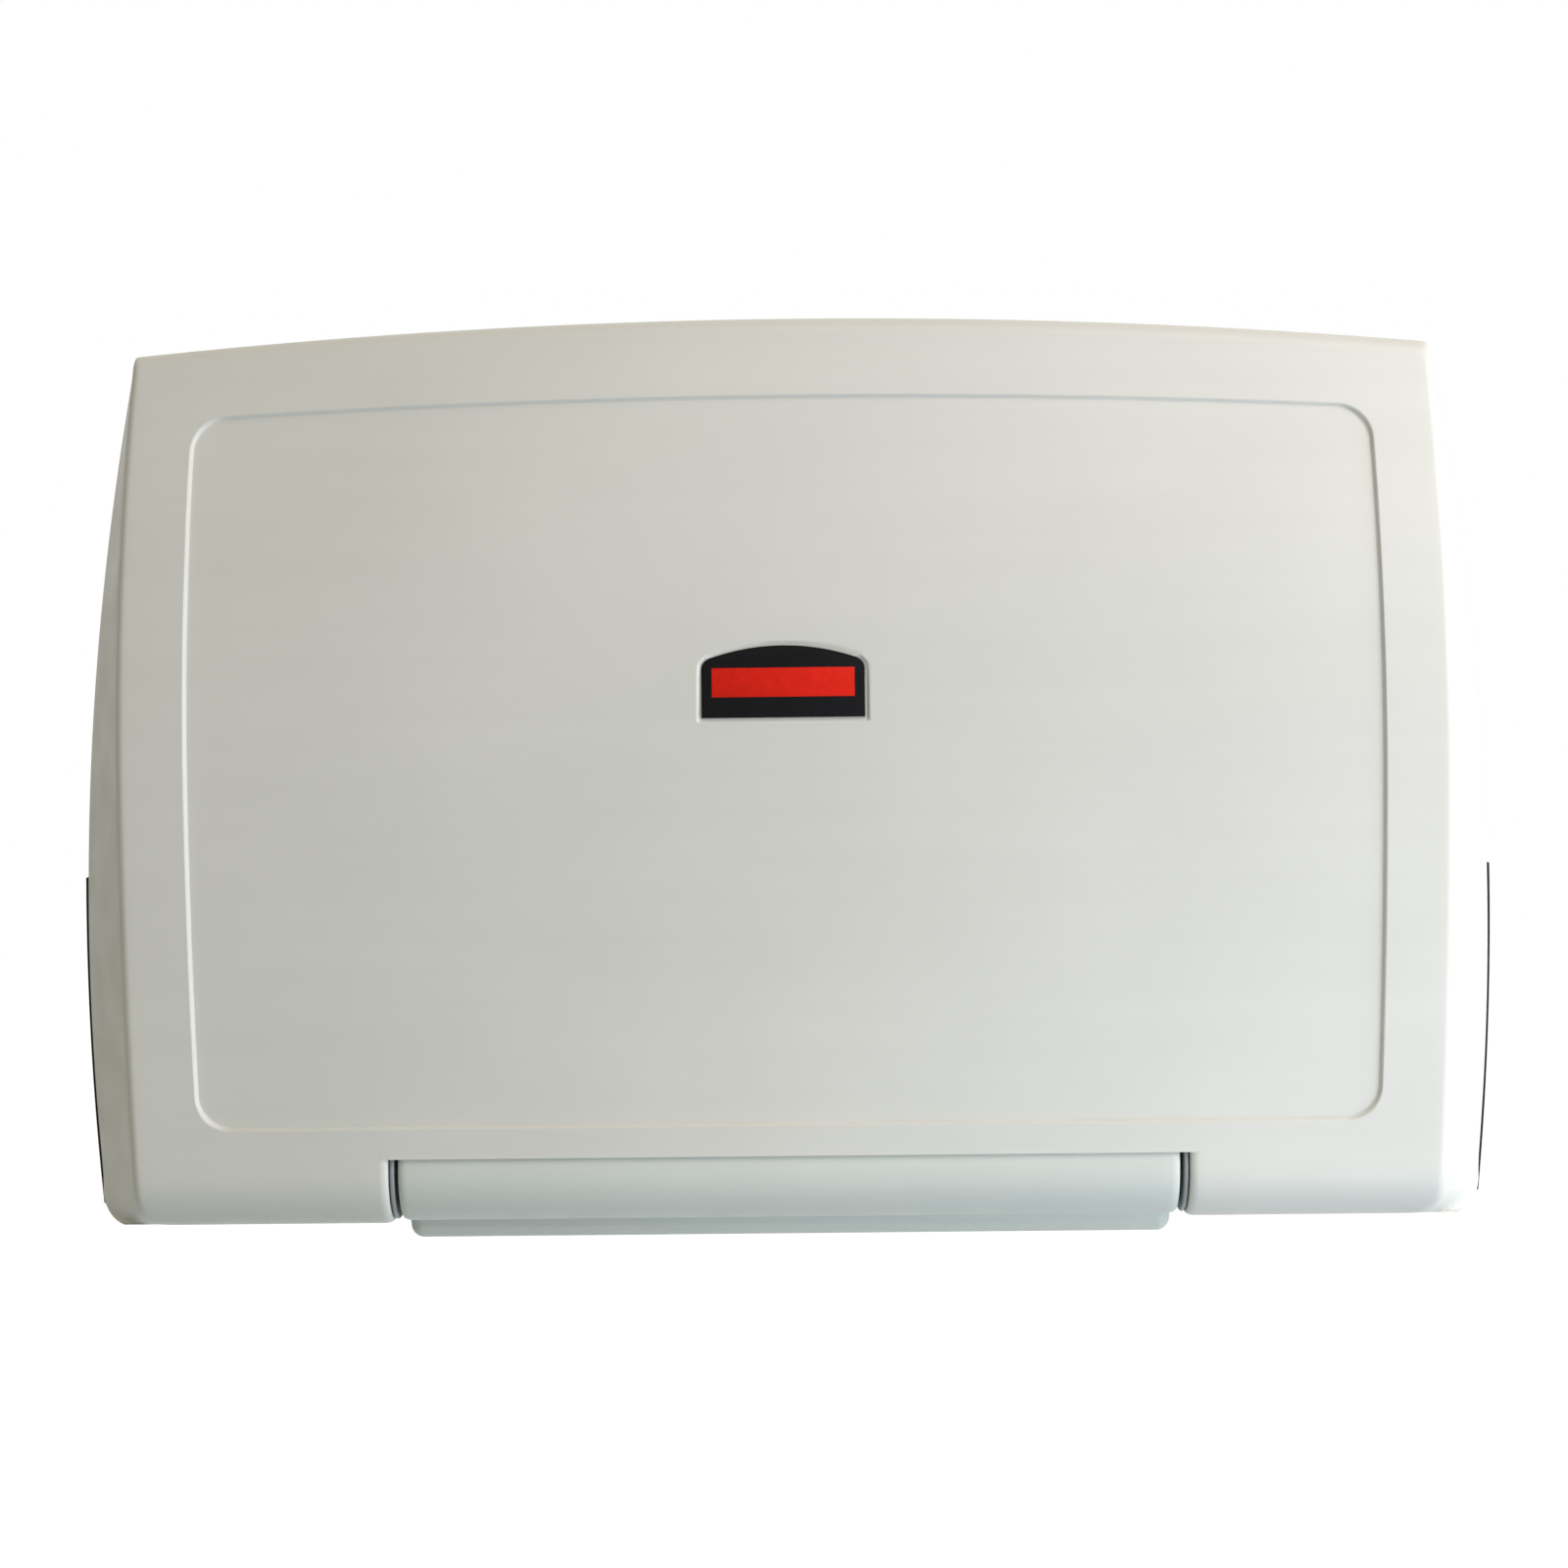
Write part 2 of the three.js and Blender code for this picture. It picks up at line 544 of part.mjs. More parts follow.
function bedOuterShell() {
  const outer = bedBlock();
  const hollow = cut(bedBlock(WALL, FACE_SKIN), coveTool(WALL));
  const sunkHalf = (z) => faceHalf(z) - SUNK_MARGIN;
  const sunkOutline = bowedOutline(sunkHalf, SUNK_BOTTOM_Z, SUNK_TOP_Z, SUNK_SAG, SUNK_CORNER);
  const sunk = cut(
    alongY(sunkOutline, RIM_Y, -DEPTH - OVERCUT),
    bedBlock(0, SUNK_DEPTH),
  );
  const badgeSeat = geometryOf(
    alongY(badgeOutline(GAP), BADGE_SINK + BADGE_THICKNESS + GAP, -OVERCUT),
  );
  const posts = traySeats.map(({ x, z }) =>
    cut(
      barY(TRAY_SCREW.boss, RIM_Y - WALL - GAP, -DEPTH, x, z).intersect(outer),
      barY(TRAY_SCREW.shank + GAP, RIM_Y, RIM_Y - TRAY_SCREW.length - OVERCUT, x, z),
    ),
  );
  return cut(
    join(cut(outer, hollow), ...posts),
    sunk,
    solidOf(badgeSeat.applyMatrix4(badgeGroup().matrix)),
    coveTool(0),
    barX(ROD_RADIUS + OVERCUT, -INNER_ARM_X, INNER_ARM_X, HINGE_Y, 0),
  );
}

// Half width of the tray, which drops into the bed's rim.
function trayHalf(z) {
  return hollowHalf(z, RIM_Y - WALL) - TRAY_FIT;
}

// Share of the tray's full depth at a place: flat rim, sloping sides, flat floor.
function trayShare(x, z) {
  const fromSide = trayHalf(z) - TRAY_EDGE - Math.abs(x);
  return (
    smoothstep(fromSide, 0, TRAY_SLOPE) *
    smoothstep(z - TRAY_EDGE_BOTTOM_Z, 0, TRAY_FOOT_SLOPE) *
    smoothstep(TRAY_EDGE_TOP_Z - z, 0, TRAY_HEAD_SLOPE)
  );
}

function bedTray() {
  const floorZ = TRAY_EDGE_BOTTOM_Z + TRAY_FOOT_SLOPE;
  const headZ = TRAY_EDGE_TOP_Z - TRAY_HEAD_SLOPE;
  const heights = [
    WALL + TRAY_FIT,
    ...steps(TRAY_EDGE_BOTTOM_Z, floorZ, SLOPE_STEPS).slice(0, -1),
    ...steps(floorZ, headZ, SLOPE_STEPS).slice(0, -1),
    ...steps(headZ, TRAY_EDGE_TOP_Z, SLOPE_STEPS),
    TOP_Z,
  ];
  const rings = heights.map((z) => {
    const half = trayHalf(z);
    const slope = steps(half - TRAY_EDGE - TRAY_SLOPE, half - TRAY_EDGE, SLOPE_STEPS);
    const right = [slope[0] / 3, ...slope, half + OVERCUT];
    const across = [...right.map((x) => -x).reverse(), ...right];
    const depth = RIM_Y - TRAY_FLOOR_Y;
    const level = (x, thickness) =>
      new THREE.Vector3(x, RIM_Y - depth * trayShare(x, z) - thickness, z - archDrop(x, z));
    return [
      ...across.map((x) => level(x, WALL)),
      ...across.reverse().map((x) => level(x, 0)),
    ];
  });
  const seats = traySeats.map(({ x, z }) => {
    const hole = turned([
      [0, OVERCUT],
      [TRAY_SCREW.head + GAP, OVERCUT],
      [TRAY_SCREW.head + GAP, -GAP],
      [TRAY_SCREW.shank + GAP, -TRAY_SCREW.headHeight - GAP],
      [TRAY_SCREW.shank + GAP, -WALL - OVERCUT],
      [0, -WALL - OVERCUT],
    ].reverse());
    return hole.translate([x, RIM_Y, z]);
  });
  const bedRoom = bedBlock(WALL + TRAY_FIT, FACE_SKIN);
  const hingeRoom = barX(DISC_RADIUS + SERVICE_CLEARANCE, -ROD_HALF, ROD_HALF, HINGE_Y, 0);
  return cut(loft(rings).intersect(bedRoom), coveTool(WALL + GAP), hingeRoom, ...seats);
}

function trayScrew() {
  const { head, headHeight, shank, length } = TRAY_SCREW;
  return turned([[0, -length], [shank, -length], [shank, -headHeight], [head, -GAP], [0, -GAP]]);
}

// Belt, buckle and anchors, lying on the tray floor

const TRAY_FLOOR_HALF = trayHalf(BELT_Z) - TRAY_EDGE - TRAY_SLOPE;
const BELT_ANCHOR_X = TRAY_FLOOR_HALF - BELT_ANCHOR_MARGIN - ANCHOR_LENGTH;
const BELT_Y = TRAY_FLOOR_Y + GAP;
const BUCKLE_SLOT_Y = BELT_Y + BUCKLE_HEIGHT / 2;
const BUTTON_X = -(TONGUE_REACH + 2 * GAP + BUCKLE_WALL + BUTTON_SIZE / 2);

// Half of the belt: flat on the floor from its anchor, rising to the buckle's mid height.
function beltHalf(from, to) {
  const lift = BUCKLE_SLOT_Y - BELT_THICKNESS / 2 - BELT_Y;
  const run = BUCKLE_HEIGHT * Math.sign(to - from);
  const under = [[from, 0], [to - 2 * run, 0], [to - run / 2, lift], [to, lift]];
  const over = under.map(([x, y]) => [x, y + BELT_THICKNESS]).reverse();
  const shape = new THREE.Shape([...under, ...over].map(([x, y]) => new THREE.Vector2(x, BELT_Y + y)));
  const strip = new THREE.ExtrudeGeometry(shape, { depth: BELT_WIDTH, bevelEnabled: false });
  return solidOf(strip.translate(0, 0, BELT_Z - BELT_WIDTH / 2));
}

const centred = (middle, size) => [middle - size / 2, middle + size / 2];

function buckleHousing() {
  const span = centred(BELT_Z, BUCKLE_WIDTH);
  const body = block([-BUCKLE_LENGTH, 0], [BELT_Y, BELT_Y + BUCKLE_HEIGHT], span);
  const mouth = block(
    [-TONGUE_REACH - GAP, OVERCUT],
    centred(BUCKLE_SLOT_Y, TONGUE_HEIGHT + 2 * GAP),
    centred(BELT_Z, BUCKLE_WIDTH - 2 * BUCKLE_WALL),
  );
  const well = block(
    centred(BUTTON_X, BUTTON_SIZE + 2 * GAP),
    [BELT_Y + BUCKLE_HEIGHT - BUTTON_HEIGHT - BUTTON_TRAVEL, BELT_Y + BUCKLE_HEIGHT + OVERCUT],
    centred(BELT_Z, BUTTON_SIZE + 2 * GAP),
  );
  return cut(body, mouth, well);
}

function buckleTongue() {
  return block(
    [-TONGUE_REACH, TONGUE_LENGTH - TONGUE_REACH],
    centred(BUCKLE_SLOT_Y, TONGUE_HEIGHT),
    centred(BELT_Z, BUCKLE_WIDTH - 2 * BUCKLE_WALL - 2 * GAP),
  );
}

function buckleButton() {
  const top = BELT_Y + BUCKLE_HEIGHT + BUTTON_PROUD;
  return block(
    centred(BUTTON_X, BUTTON_SIZE),
    [top - BUTTON_HEIGHT - BUTTON_PROUD + GAP, top],
    centred(BELT_Z, BUTTON_SIZE),
  );
}

// A plate over the belt's end, with a channel underneath for the webbing.
function beltAnchor(sign) {
  const inner = sign * BELT_ANCHOR_X;
  const outer = sign * (BELT_ANCHOR_X + ANCHOR_LENGTH);
  const plate = block(
    [inner, outer],
    [BELT_Y, BELT_Y + ANCHOR_HEIGHT],
    centred(BELT_Z, ANCHOR_WIDTH),
  );
  const channel = block(
    [inner - sign * OVERCUT, inner + sign * (ANCHOR_LENGTH / 2)],
    [BELT_Y - OVERCUT, BELT_Y + BELT_THICKNESS + GAP],
    centred(BELT_Z, BELT_WIDTH + 2 * GAP),
  );
  return cut(plate, channel);
}

// Steelwork and gas springs inside the bed

// A hinge arm: a ring round the rod and an upright in the space between the shells.
function hingeArm(x, sign, withStop) {
  const [near, far] = [sign * x, sign * (x + ARM_THICKNESS)];
  const upright = [
    [GAS_Y + GAS_TUBE_RADIUS - GAP, -ROD_RADIUS],
    [GAS_Y + GAS_TUBE_RADIUS - GAP, CROSS_RAIL_Z - GAP],
    [GAS_Y - GAS_TUBE_RADIUS + GAP, CROSS_RAIL_Z - GAP],
    [GAS_Y - GAS_TUBE_RADIUS + GAP, 0],
    [HINGE_Y - ARM_RING_RADIUS / 2, -ARM_RING_RADIUS / 2],
  ];
  const arm = cut(
    join(barX(ARM_RING_RADIUS, near, far, HINGE_Y, 0), alongX(upright, near, far)),
    barX(BUSH_RADIUS + GAP, near - sign * OVERCUT, far + sign * OVERCUT, HINGE_Y, 0),
  );
  if (!withStop) return arm;
  const hole = barX(STOP_PIN_RADIUS + GAP, near - sign, far + sign, HINGE_Y + STOP_PIN_ORBIT, 0, SMALL_ROUND);
  return cut(arm, hole);
}

// A plain bush in a hinge arm, turning on the rod, about an axis along +Y.
function armBush() {
  const bore = BUSH_RADIUS - BUSH_WALL;
  return turned(
    [[bore, 0], [BUSH_RADIUS, 0], [BUSH_RADIUS, ARM_THICKNESS], [bore, ARM_THICKNESS], [bore, 0]],
    ROUND,
  );
}

function stopPin(sign) {
  const [near, far] = [INNER_ARM_X + GAP, CRANK_X - GAP];
  return barX(STOP_PIN_RADIUS, sign * near, sign * far, HINGE_Y + STOP_PIN_ORBIT, 0, SMALL_ROUND);
}

// The disc fixed on the rod: an arc slot stops the bed, and a pin works the gas spring.
function crankDisc(sign) {
  const [near, far] = [sign * DISC_X, sign * CRANK_X];
  const track = (grow) => {
    const radii = [STOP_PIN_ORBIT - STOP_PIN_RADIUS - grow, STOP_PIN_ORBIT + STOP_PIN_RADIUS + grow];
    const arc = (radius, angles) => angles.map((a) => [
      HINGE_Y + radius * Math.cos(a), radius * Math.sin(a),
    ]);
    const sweep = steps(0, OPEN_ANGLE, ARCH_STEPS);
    const slot = alongX(
      [...arc(radii[1], sweep), ...arc(radii[0], sweep.reverse())],
      near - sign, far + sign,
    );
    const ends = [0, OPEN_ANGLE].map((a) => barX(
      STOP_PIN_RADIUS + grow, near - sign, far + sign,
      HINGE_Y + STOP_PIN_ORBIT * Math.cos(a), STOP_PIN_ORBIT * Math.sin(a), SMALL_ROUND,
    ));
    return join(slot, ...ends);
  };
  const disc = cut(
    barX(DISC_RADIUS, near, far, HINGE_Y, 0),
    barX(ROD_RADIUS + GAP, near - sign, far + sign, HINGE_Y, 0),
    track(RUN_GAP),
  );
  const pinEnd = sign * (CRANK_X + CRANK_PIN_LENGTH);
  return join(disc, barX(CRANK_PIN_RADIUS, near, pinEnd, HINGE_Y + PIN_Y, PIN_Z, SMALL_ROUND));
}

// The gas spring's rod and its slotted yoke, which rides the crank pin.
function gasRod(sign) {
  const swing = (CRANK_ORBIT + PIN_Y) / 2; // half the crank pin's travel along Y
  const slotY = HINGE_Y + PIN_Y - swing;
  const slot = YOKE_SLOT;
  const [near, far] = [sign * (CRANK_X + GAP), sign * (CRANK_X + GAP + YOKE_THICKNESS)];
  const reach = swing + slot + YOKE_WALL;
  const foot = PIN_Z - slot - YOKE_WALL;
  const yokeTop = PIN_Z + slot + YOKE_STEM;
  const frontY = Math.min(slotY - reach, GAS_Y - GAS_ROD_RADIUS);
  const yoke = alongX(
    rounded([
      [slotY + reach, foot, YOKE_WALL],
      [slotY + reach, PIN_Z + slot + YOKE_WALL, YOKE_WALL],
      [GAS_Y + GAS_ROD_RADIUS, yokeTop],
      [GAS_Y - GAS_ROD_RADIUS, yokeTop],
      [frontY, PIN_Z + slot],
      [frontY, foot, reach],
    ]),
    near, far,
  );
  const ends = [-swing, swing].map((shift) =>
    barX(slot, near - sign, far + sign, slotY + shift, PIN_Z, SMALL_ROUND),
  );
  const middle = block(
    [near - sign, far + sign], centred(slotY, 2 * swing), centred(PIN_Z, 2 * slot),
  );
  const rodLength = GAS_TUBE_Z + GAS_TUBE_LENGTH / 2 - yokeTop;
  const rod = new THREE.CylinderGeometry(GAS_ROD_RADIUS, GAS_ROD_RADIUS, rodLength, SMALL_ROUND);
  rod.rotateX(Math.PI / 2).translate(sign * GAS_X, GAS_Y, yokeTop - GAP + rodLength / 2);
  return join(cut(yoke, middle, ...ends), solidOf(rod));
}

// The gas spring's tube, with its bore open below and a stud above, along +Y from its mouth.
function gasTube() {
  const bore = GAS_ROD_RADIUS + RUN_GAP;
  const [roof, top] = [GAS_TUBE_LENGTH - GAS_TUBE_END, GAS_TUBE_LENGTH];
  const studTop = top + GAS_STUD_LENGTH;
  return turned([
    [0, roof], [bore, roof], [bore, 0], [GAS_TUBE_RADIUS - 1, 0], [GAS_TUBE_RADIUS, 1],
    [GAS_TUBE_RADIUS, top - 2], [GAS_TUBE_RADIUS - 2, top],
    [GAS_STUD_RADIUS, top], [GAS_STUD_RADIUS, studTop], [0, studTop],
  ]);
}

// The hexagon nut on a gas spring's stud, along +Y.
function gasNut() {
  const nut = new THREE.CylinderGeometry(GAS_NUT_RADIUS, GAS_NUT_RADIUS, GAS_NUT_HEIGHT, 6);
  const hole = barY(GAS_STUD_RADIUS + GAP, -GAS_NUT_HEIGHT, GAS_NUT_HEIGHT, 0, 0);
  return cut(solidOf(nut), hole);
}

// The channel across the bed that ties the hinge arms and holds the gas springs.
function crossRail() {
  const [front, rear] = [GAS_Y - GAS_TUBE_RADIUS + GAP, GAS_Y + GAS_TUBE_RADIUS - GAP];
  const [foot, head] = [CROSS_RAIL_Z, CROSS_RAIL_Z + CROSS_RAIL_HEIGHT];
  const gauge = CROSS_RAIL_GAUGE;
  const channel = alongX(
    [
      [rear, foot], [rear, foot + gauge], [front + gauge, foot + gauge],
      [front + gauge, head - gauge], [rear, head - gauge], [rear, head],
      [front, head], [front, foot],
    ],
    -CROSS_RAIL_HALF, CROSS_RAIL_HALF,
  );
  const holes = Object.values(SIDES).map((sign) => {
    const hole = new THREE.CylinderGeometry(
      GAS_STUD_RADIUS + GAP, GAS_STUD_RADIUS + GAP, 4 * gauge, SMALL_ROUND,
    );
    return solidOf(hole.rotateX(Math.PI / 2).translate(sign * GAS_X, GAS_Y, foot));
  });
  return cut(channel, ...holes);
}

// Wall panel and what it carries

const panelHalf = (z) => rimHalf(z) - PANEL_INSET;
const PANEL_TOP_Z = TOP_Z - GRIP_DROP;
const BUMPER_X = panelHalf(BUMPER_Z) - PANEL_FLANGE / 2;

const panelOutline = (inset, corner) =>
  bowedOutline(
    (z) => panelHalf(z) - inset, PANEL_BOTTOM_Z + inset, PANEL_TOP_Z - inset, ARCH_SAG, corner,
  );
const recessOutline = (grow) =>
  bowedOutline(
    (z) => panelHalf(z) - PANEL_FLANGE + grow,
    PANEL_RECESS_BOTTOM_Z - grow, PANEL_TOP_Z - PANEL_FLANGE + grow, ARCH_SAG, SUNK_CORNER,
  );

// The neck behind the centre barrel, with the lip under it, drawn in by a skin.
function neckOutline(skin) {
  const wallY = skin ? OVERCUT : 0;
  const front = LIP_Y + skin;
  return [
    [wallY, LIP_Z + skin],
    [front + GAUGE, LIP_Z + skin],
    [front, LIP_Z + skin + GAUGE],
    [front, -CENTRE_BARREL_RADIUS / 2],
    [HINGE_Y, 0],
    [HINGE_Y + CENTRE_BARREL_RADIUS / 2, NECK_TOP_Z - skin],
    [wallY, NECK_TOP_Z - skin],
  ];
}

const screwSeats = Object.entries(SIDES).flatMap(([side, sign]) =>
  Object.entries(PANEL_SCREW_HEIGHTS).map(([level, z]) => ({
    name: `panel_screw_${side}_${level}`,
    x: sign * RAIL_X,
    z,
  })),
);

// Clips beside the liner pocket that hold the cover's edge flanges, with a ledge under the cover.
function coverClips() {
  const flangeHalf = POCKET_HALF + COVER_MARGIN;
  const lipY = RECESS_Y - COVER_PLATE - 2 * GAP;
  const clips = Object.values(SIDES).flatMap((sign) =>
    CLIP_HEIGHTS.map((z) => {
      const inside = sign * (flangeHalf + GAP);
      const outside = inside + sign * CLIP_POST;
      const span = [z, z + CLIP_HEIGHT];
      return join(
        block([inside, outside], [lipY - COVER_PLATE, RECESS_Y + GAP], span),
        block([inside - sign * CLIP_REACH, outside], [lipY - COVER_PLATE, lipY], span),
      );
    }),
  );
  const ledgeTop = POCKET_BOTTOM_Z - COVER_MARGIN - GAP;
  const ledge = block(
    [-COVER_LEDGE_HALF, COVER_LEDGE_HALF],
    [RECESS_Y - COVER_PLATE, RECESS_Y + GAP],
    [ledgeTop - COVER_LEDGE_HEIGHT, ledgeTop],
  );
  return join(...clips, ledge);
}

function wallPanel() {
  const pocket = (grow, yFront) =>
    block(
      [-POCKET_HALF - grow, POCKET_HALF + grow],
      [yFront, RECESS_Y + POCKET_DEPTH + grow],
      [POCKET_BOTTOM_Z - grow, POCKET_TOP_Z + grow],
    );
  const barrel = barX(
    CENTRE_BARREL_RADIUS, -CENTRE_BARREL_HALF, CENTRE_BARREL_HALF, HINGE_Y, 0, 2 * ROUND,
  );
  const neck = alongX(neckOutline(0), -CENTRE_BARREL_HALF, CENTRE_BARREL_HALF);
  const innerHalf = CENTRE_BARREL_HALF - WALL;
  const hinge = join(
    barX(CENTRE_BARREL_RADIUS - WALL, -innerHalf, innerHalf, HINGE_Y, 0, 2 * ROUND),
    alongX(neckOutline(WALL), -innerHalf, innerHalf),
  );
  const bedRoom = (grow) =>
    Object.values(SIDES).map((sign) => barX(
      BARREL_RADIUS + RIM_GAP + grow,
      sign * (RING_X - GAP - grow), sign * (RIM_HALF + DEPTH), HINGE_Y, 0, 2 * ROUND,
    ));
  const bosses = screwSeats.map(({ x, z }) =>
    barY(PANEL_SCREW.boss, RECESS_Y + GAP, -GAUGE - GAP, x, z),
  );
  const hollow = cut(
    alongY(panelOutline(WALL, WALL), OVERCUT, PANEL_Y + WALL),
    alongY(recessOutline(WALL), RECESS_Y + WALL, PANEL_Y - OVERCUT),
    pocket(WALL, RECESS_Y),
    ...bedRoom(WALL),
    ...bosses,
  );
  const screwHoles = screwSeats.map(({ x, z }) =>
    barY(PANEL_SCREW.shank + GAP, PANEL_Y - OVERCUT, OVERCUT, x, z),
  );
  const hookHoles = Object.values(SIDES).map((sign) =>
    barY(HOOK_SCREW.shank + GAP, PANEL_Y, -GAUGE, sign * HOOK_X, HOOK_Z + HOOK_SCREW_Z),
  );
  const bumperHoles = Object.values(SIDES).map((sign) =>
    barY(BUMPER_STEM + GAP, PANEL_Y - OVERCUT, PANEL_Y + WALL + OVERCUT, sign * BUMPER_X, BUMPER_Z),
  );
  const railRoom = Object.values(SIDES).map((sign) => block(
    centred(sign * RAIL_X, RAIL_WIDTH + 2 * GAP),
    [-RAIL_FLANGE - GAP, OVERCUT],
    [HINGE_RAIL_TOP_Z, NECK_TOP_Z + OVERCUT],
  ));
  const bushHole = barX(
    BUSH_RADIUS + GAP,
    -CENTRE_BARREL_HALF - OVERCUT, CENTRE_BARREL_HALF + OVERCUT, HINGE_Y, 0,
  );
  const shell = cut(
    alongY(panelOutline(0, 2 * WALL), 0, PANEL_Y),
    hollow,
    alongY(recessOutline(0), RECESS_Y, PANEL_Y - OVERCUT),
    pocket(0, PANEL_Y),
    ...bedRoom(0),
  );
  return cut(
    join(shell, barrel, neck, coverClips()),
    hinge,
    bushHole,
    ...railRoom,
    ...screwHoles,
    ...hookHoles,
    ...bumperHoles,
  );
}

// The cover over the liner pocket: a raised box with edge flanges, notched to lift off its clips.
function linerCover() {
  const half = POCKET_HALF + COVER_MARGIN;
  const [foot, head] = [POCKET_BOTTOM_Z - COVER_MARGIN, POCKET_TOP_Z + COVER_MARGIN];
  const back = RECESS_Y - GAP;
  const plateY = back - COVER_PLATE;
  const flange = block([-half, half], [plateY, back], [foot, head]);
  const raised = (shrink, yFront, yBack) => {
    const [side, low, high] = [
      half - COVER_FLANGE - shrink, foot + COVER_FLANGE + shrink, head - COVER_FLANGE - shrink,
    ];
    return alongY(
      rounded([[-side, low, WALL], [side, low, WALL], [side, high, WALL], [-side, high, WALL]]),
      yBack, yFront,
    );
  };
  const slot = block(
    [-LINER_SLOT_HALF, LINER_SLOT_HALF],
    [plateY - COVER_RISE - OVERCUT, back],
    [LINER_SLOT_Z, LINER_SLOT_Z + LINER_SLOT_HEIGHT],
  );
  const notches = Object.values(SIDES).flatMap((sign) =>
    CLIP_HEIGHTS.map((z) => block(
      [sign * (half - CLIP_REACH - GAP), sign * (half + OVERCUT)],
      [plateY - OVERCUT, back + OVERCUT],
      [z - COVER_LIFT - GAP, z - COVER_LIFT + CLIP_HEIGHT + GAP],
    )),
  );
  return cut(
    join(flange, raised(0, plateY - COVER_RISE, plateY + GAP)),
    raised(COVER_PLATE, plateY - COVER_RISE + COVER_PLATE, back + OVERCUT),
    slot,
    ...notches,
  );
}

// A rubber strip along the lower side of the panel, seen as a dark line beside the shut bed.
function edgeStrip(sign) {
  const heights = steps(STRIP_BOTTOM_Z, STRIP_TOP_Z, SIDE_STEPS);
  const outer = heights.map((z) => [sign * (rimHalf(z) + STRIP_PROUD), z]);
  const inner = heights.map((z) => [sign * (panelHalf(z) + GAP), z]).reverse();
  const outline = sign > 0 ? [...outer, ...inner] : [...outer, ...inner].reverse();
  return alongY(outline, PANEL_Y + STRIP_DEPTH, PANEL_Y);
}

// A rubber button that the shut bed rests on, along +Y with its stem at the back.
function bumper() {
  const thickness = RIM_GAP - 2 * GAP;
  return turned([
    [0, -thickness], [BUMPER_RADIUS - thickness / 2, -thickness], [BUMPER_RADIUS, 0],
    [BUMPER_STEM, 0], [BUMPER_STEM, WALL + GAP], [0, WALL + GAP],
  ]);
}

function bagHook(sign) {
  const back = RECESS_Y - GAP;
  const baseY = back - HOOK_BASE_THICKNESS;
  const tipY = baseY - HOOK_THROAT;
  const barZ = HOOK_Z + HOOK_BAR_Z;
  const x = sign * HOOK_X;
  const base = alongY(
    rounded([
      [x - HOOK_BASE_HALF, HOOK_Z, HOOK_HALF],
      [x + HOOK_BASE_HALF, HOOK_Z, HOOK_HALF],
      [x + HOOK_BASE_HALF, HOOK_Z + HOOK_BASE_HEIGHT, HOOK_HALF],
      [x - HOOK_BASE_HALF, HOOK_Z + HOOK_BASE_HEIGHT, HOOK_HALF],
    ]),
    back, baseY,
  );
  const bend = alongX(
    rounded([
      [baseY + GAP, barZ],
      [baseY + GAP, barZ + HOOK_BAR],
      [tipY, barZ + HOOK_BAR, HOOK_BAR / 2],
      [tipY, barZ + HOOK_TIP, HOOK_BAR / 3],
      [tipY - HOOK_BAR, barZ + HOOK_TIP, HOOK_BAR / 3],
      [tipY - HOOK_BAR, barZ, HOOK_BAR],
    ]),
    x - HOOK_HALF, x + HOOK_HALF,
  );
  const hole = barY(HOOK_SCREW.shank + GAP, back + OVERCUT, tipY, x, HOOK_Z + HOOK_SCREW_Z);
  return cut(join(base, bend), hole);
}

// A pan-head screw along +Y, its head in front of the surface at y = 0.
function panScrew({ head, headHeight, shank }, length) {
  return turned([
    [0, -headHeight], [head * 0.8, -headHeight], [head, -headHeight / 2], [head, 0],
    [shank, 0], [shank, length], [0, length],
  ]);
}

// Steel mounting frame and hinge brackets

function mountingRail(sign) {
  const half = RAIL_WIDTH / 2;
  const foot = HINGE_RAIL_TOP_Z + GAP;
  const x = sign * RAIL_X;
  const web = block([x - half, x + half], [-GAUGE, 0], [foot, RAIL_TOP_Z]);
  const flanges = [-half, half - GAUGE].map((edge) =>
    block([x + edge, x + edge + GAUGE], [-RAIL_FLANGE, 0], [foot, RAIL_TOP_Z]),
  );
  const slots = RAIL_SLOT_HEIGHTS.map((z) =>
    block(centred(x, RAIL_SLOT_WIDTH), [-2 * GAUGE, GAUGE], centred(z, RAIL_SLOT_LENGTH)),
  );
  const screwHoles = Object.values(PANEL_SCREW_HEIGHTS).map((z) =>
    barY(PANEL_SCREW.shank + GAP, -2 * GAUGE, GAUGE, x, z),
  );
  return cut(join(web, ...flanges), ...slots, ...screwHoles);
}

function hingeRail() {
  return block(
    [-HINGE_RAIL_HALF, HINGE_RAIL_HALF], [-GAUGE, 0], [HINGE_RAIL_BOTTOM_Z, HINGE_RAIL_TOP_Z],
  );
}

// A plate from the hinge rail out to the rod, which it holds.
function hingeBracket(x) {
  const [near, far] = centred(x, BRACKET_THICKNESS);
  const back = -GAUGE - GAP;
  const arm = [
    [back, HINGE_RAIL_BOTTOM_Z],
    [HINGE_Y + BRACKET_RING_RADIUS / 2, -BRACKET_RING_RADIUS],
    [HINGE_Y, 0],
    [HINGE_Y + BRACKET_RING_RADIUS / 2, BRACKET_RING_RADIUS * 0.8],
    [back, HINGE_RAIL_TOP_Z],
  ];
  const plate = join(
    alongX(arm.reverse(), near, far),
    barX(BRACKET_RING_RADIUS, near, far, HINGE_Y, 0),
  );
  return cut(plate, barX(ROD_RADIUS + GAP, near - OVERCUT, far + OVERCUT, HINGE_Y, 0));
}

// Rings on the hinge rod, each turned about an axis along +Y

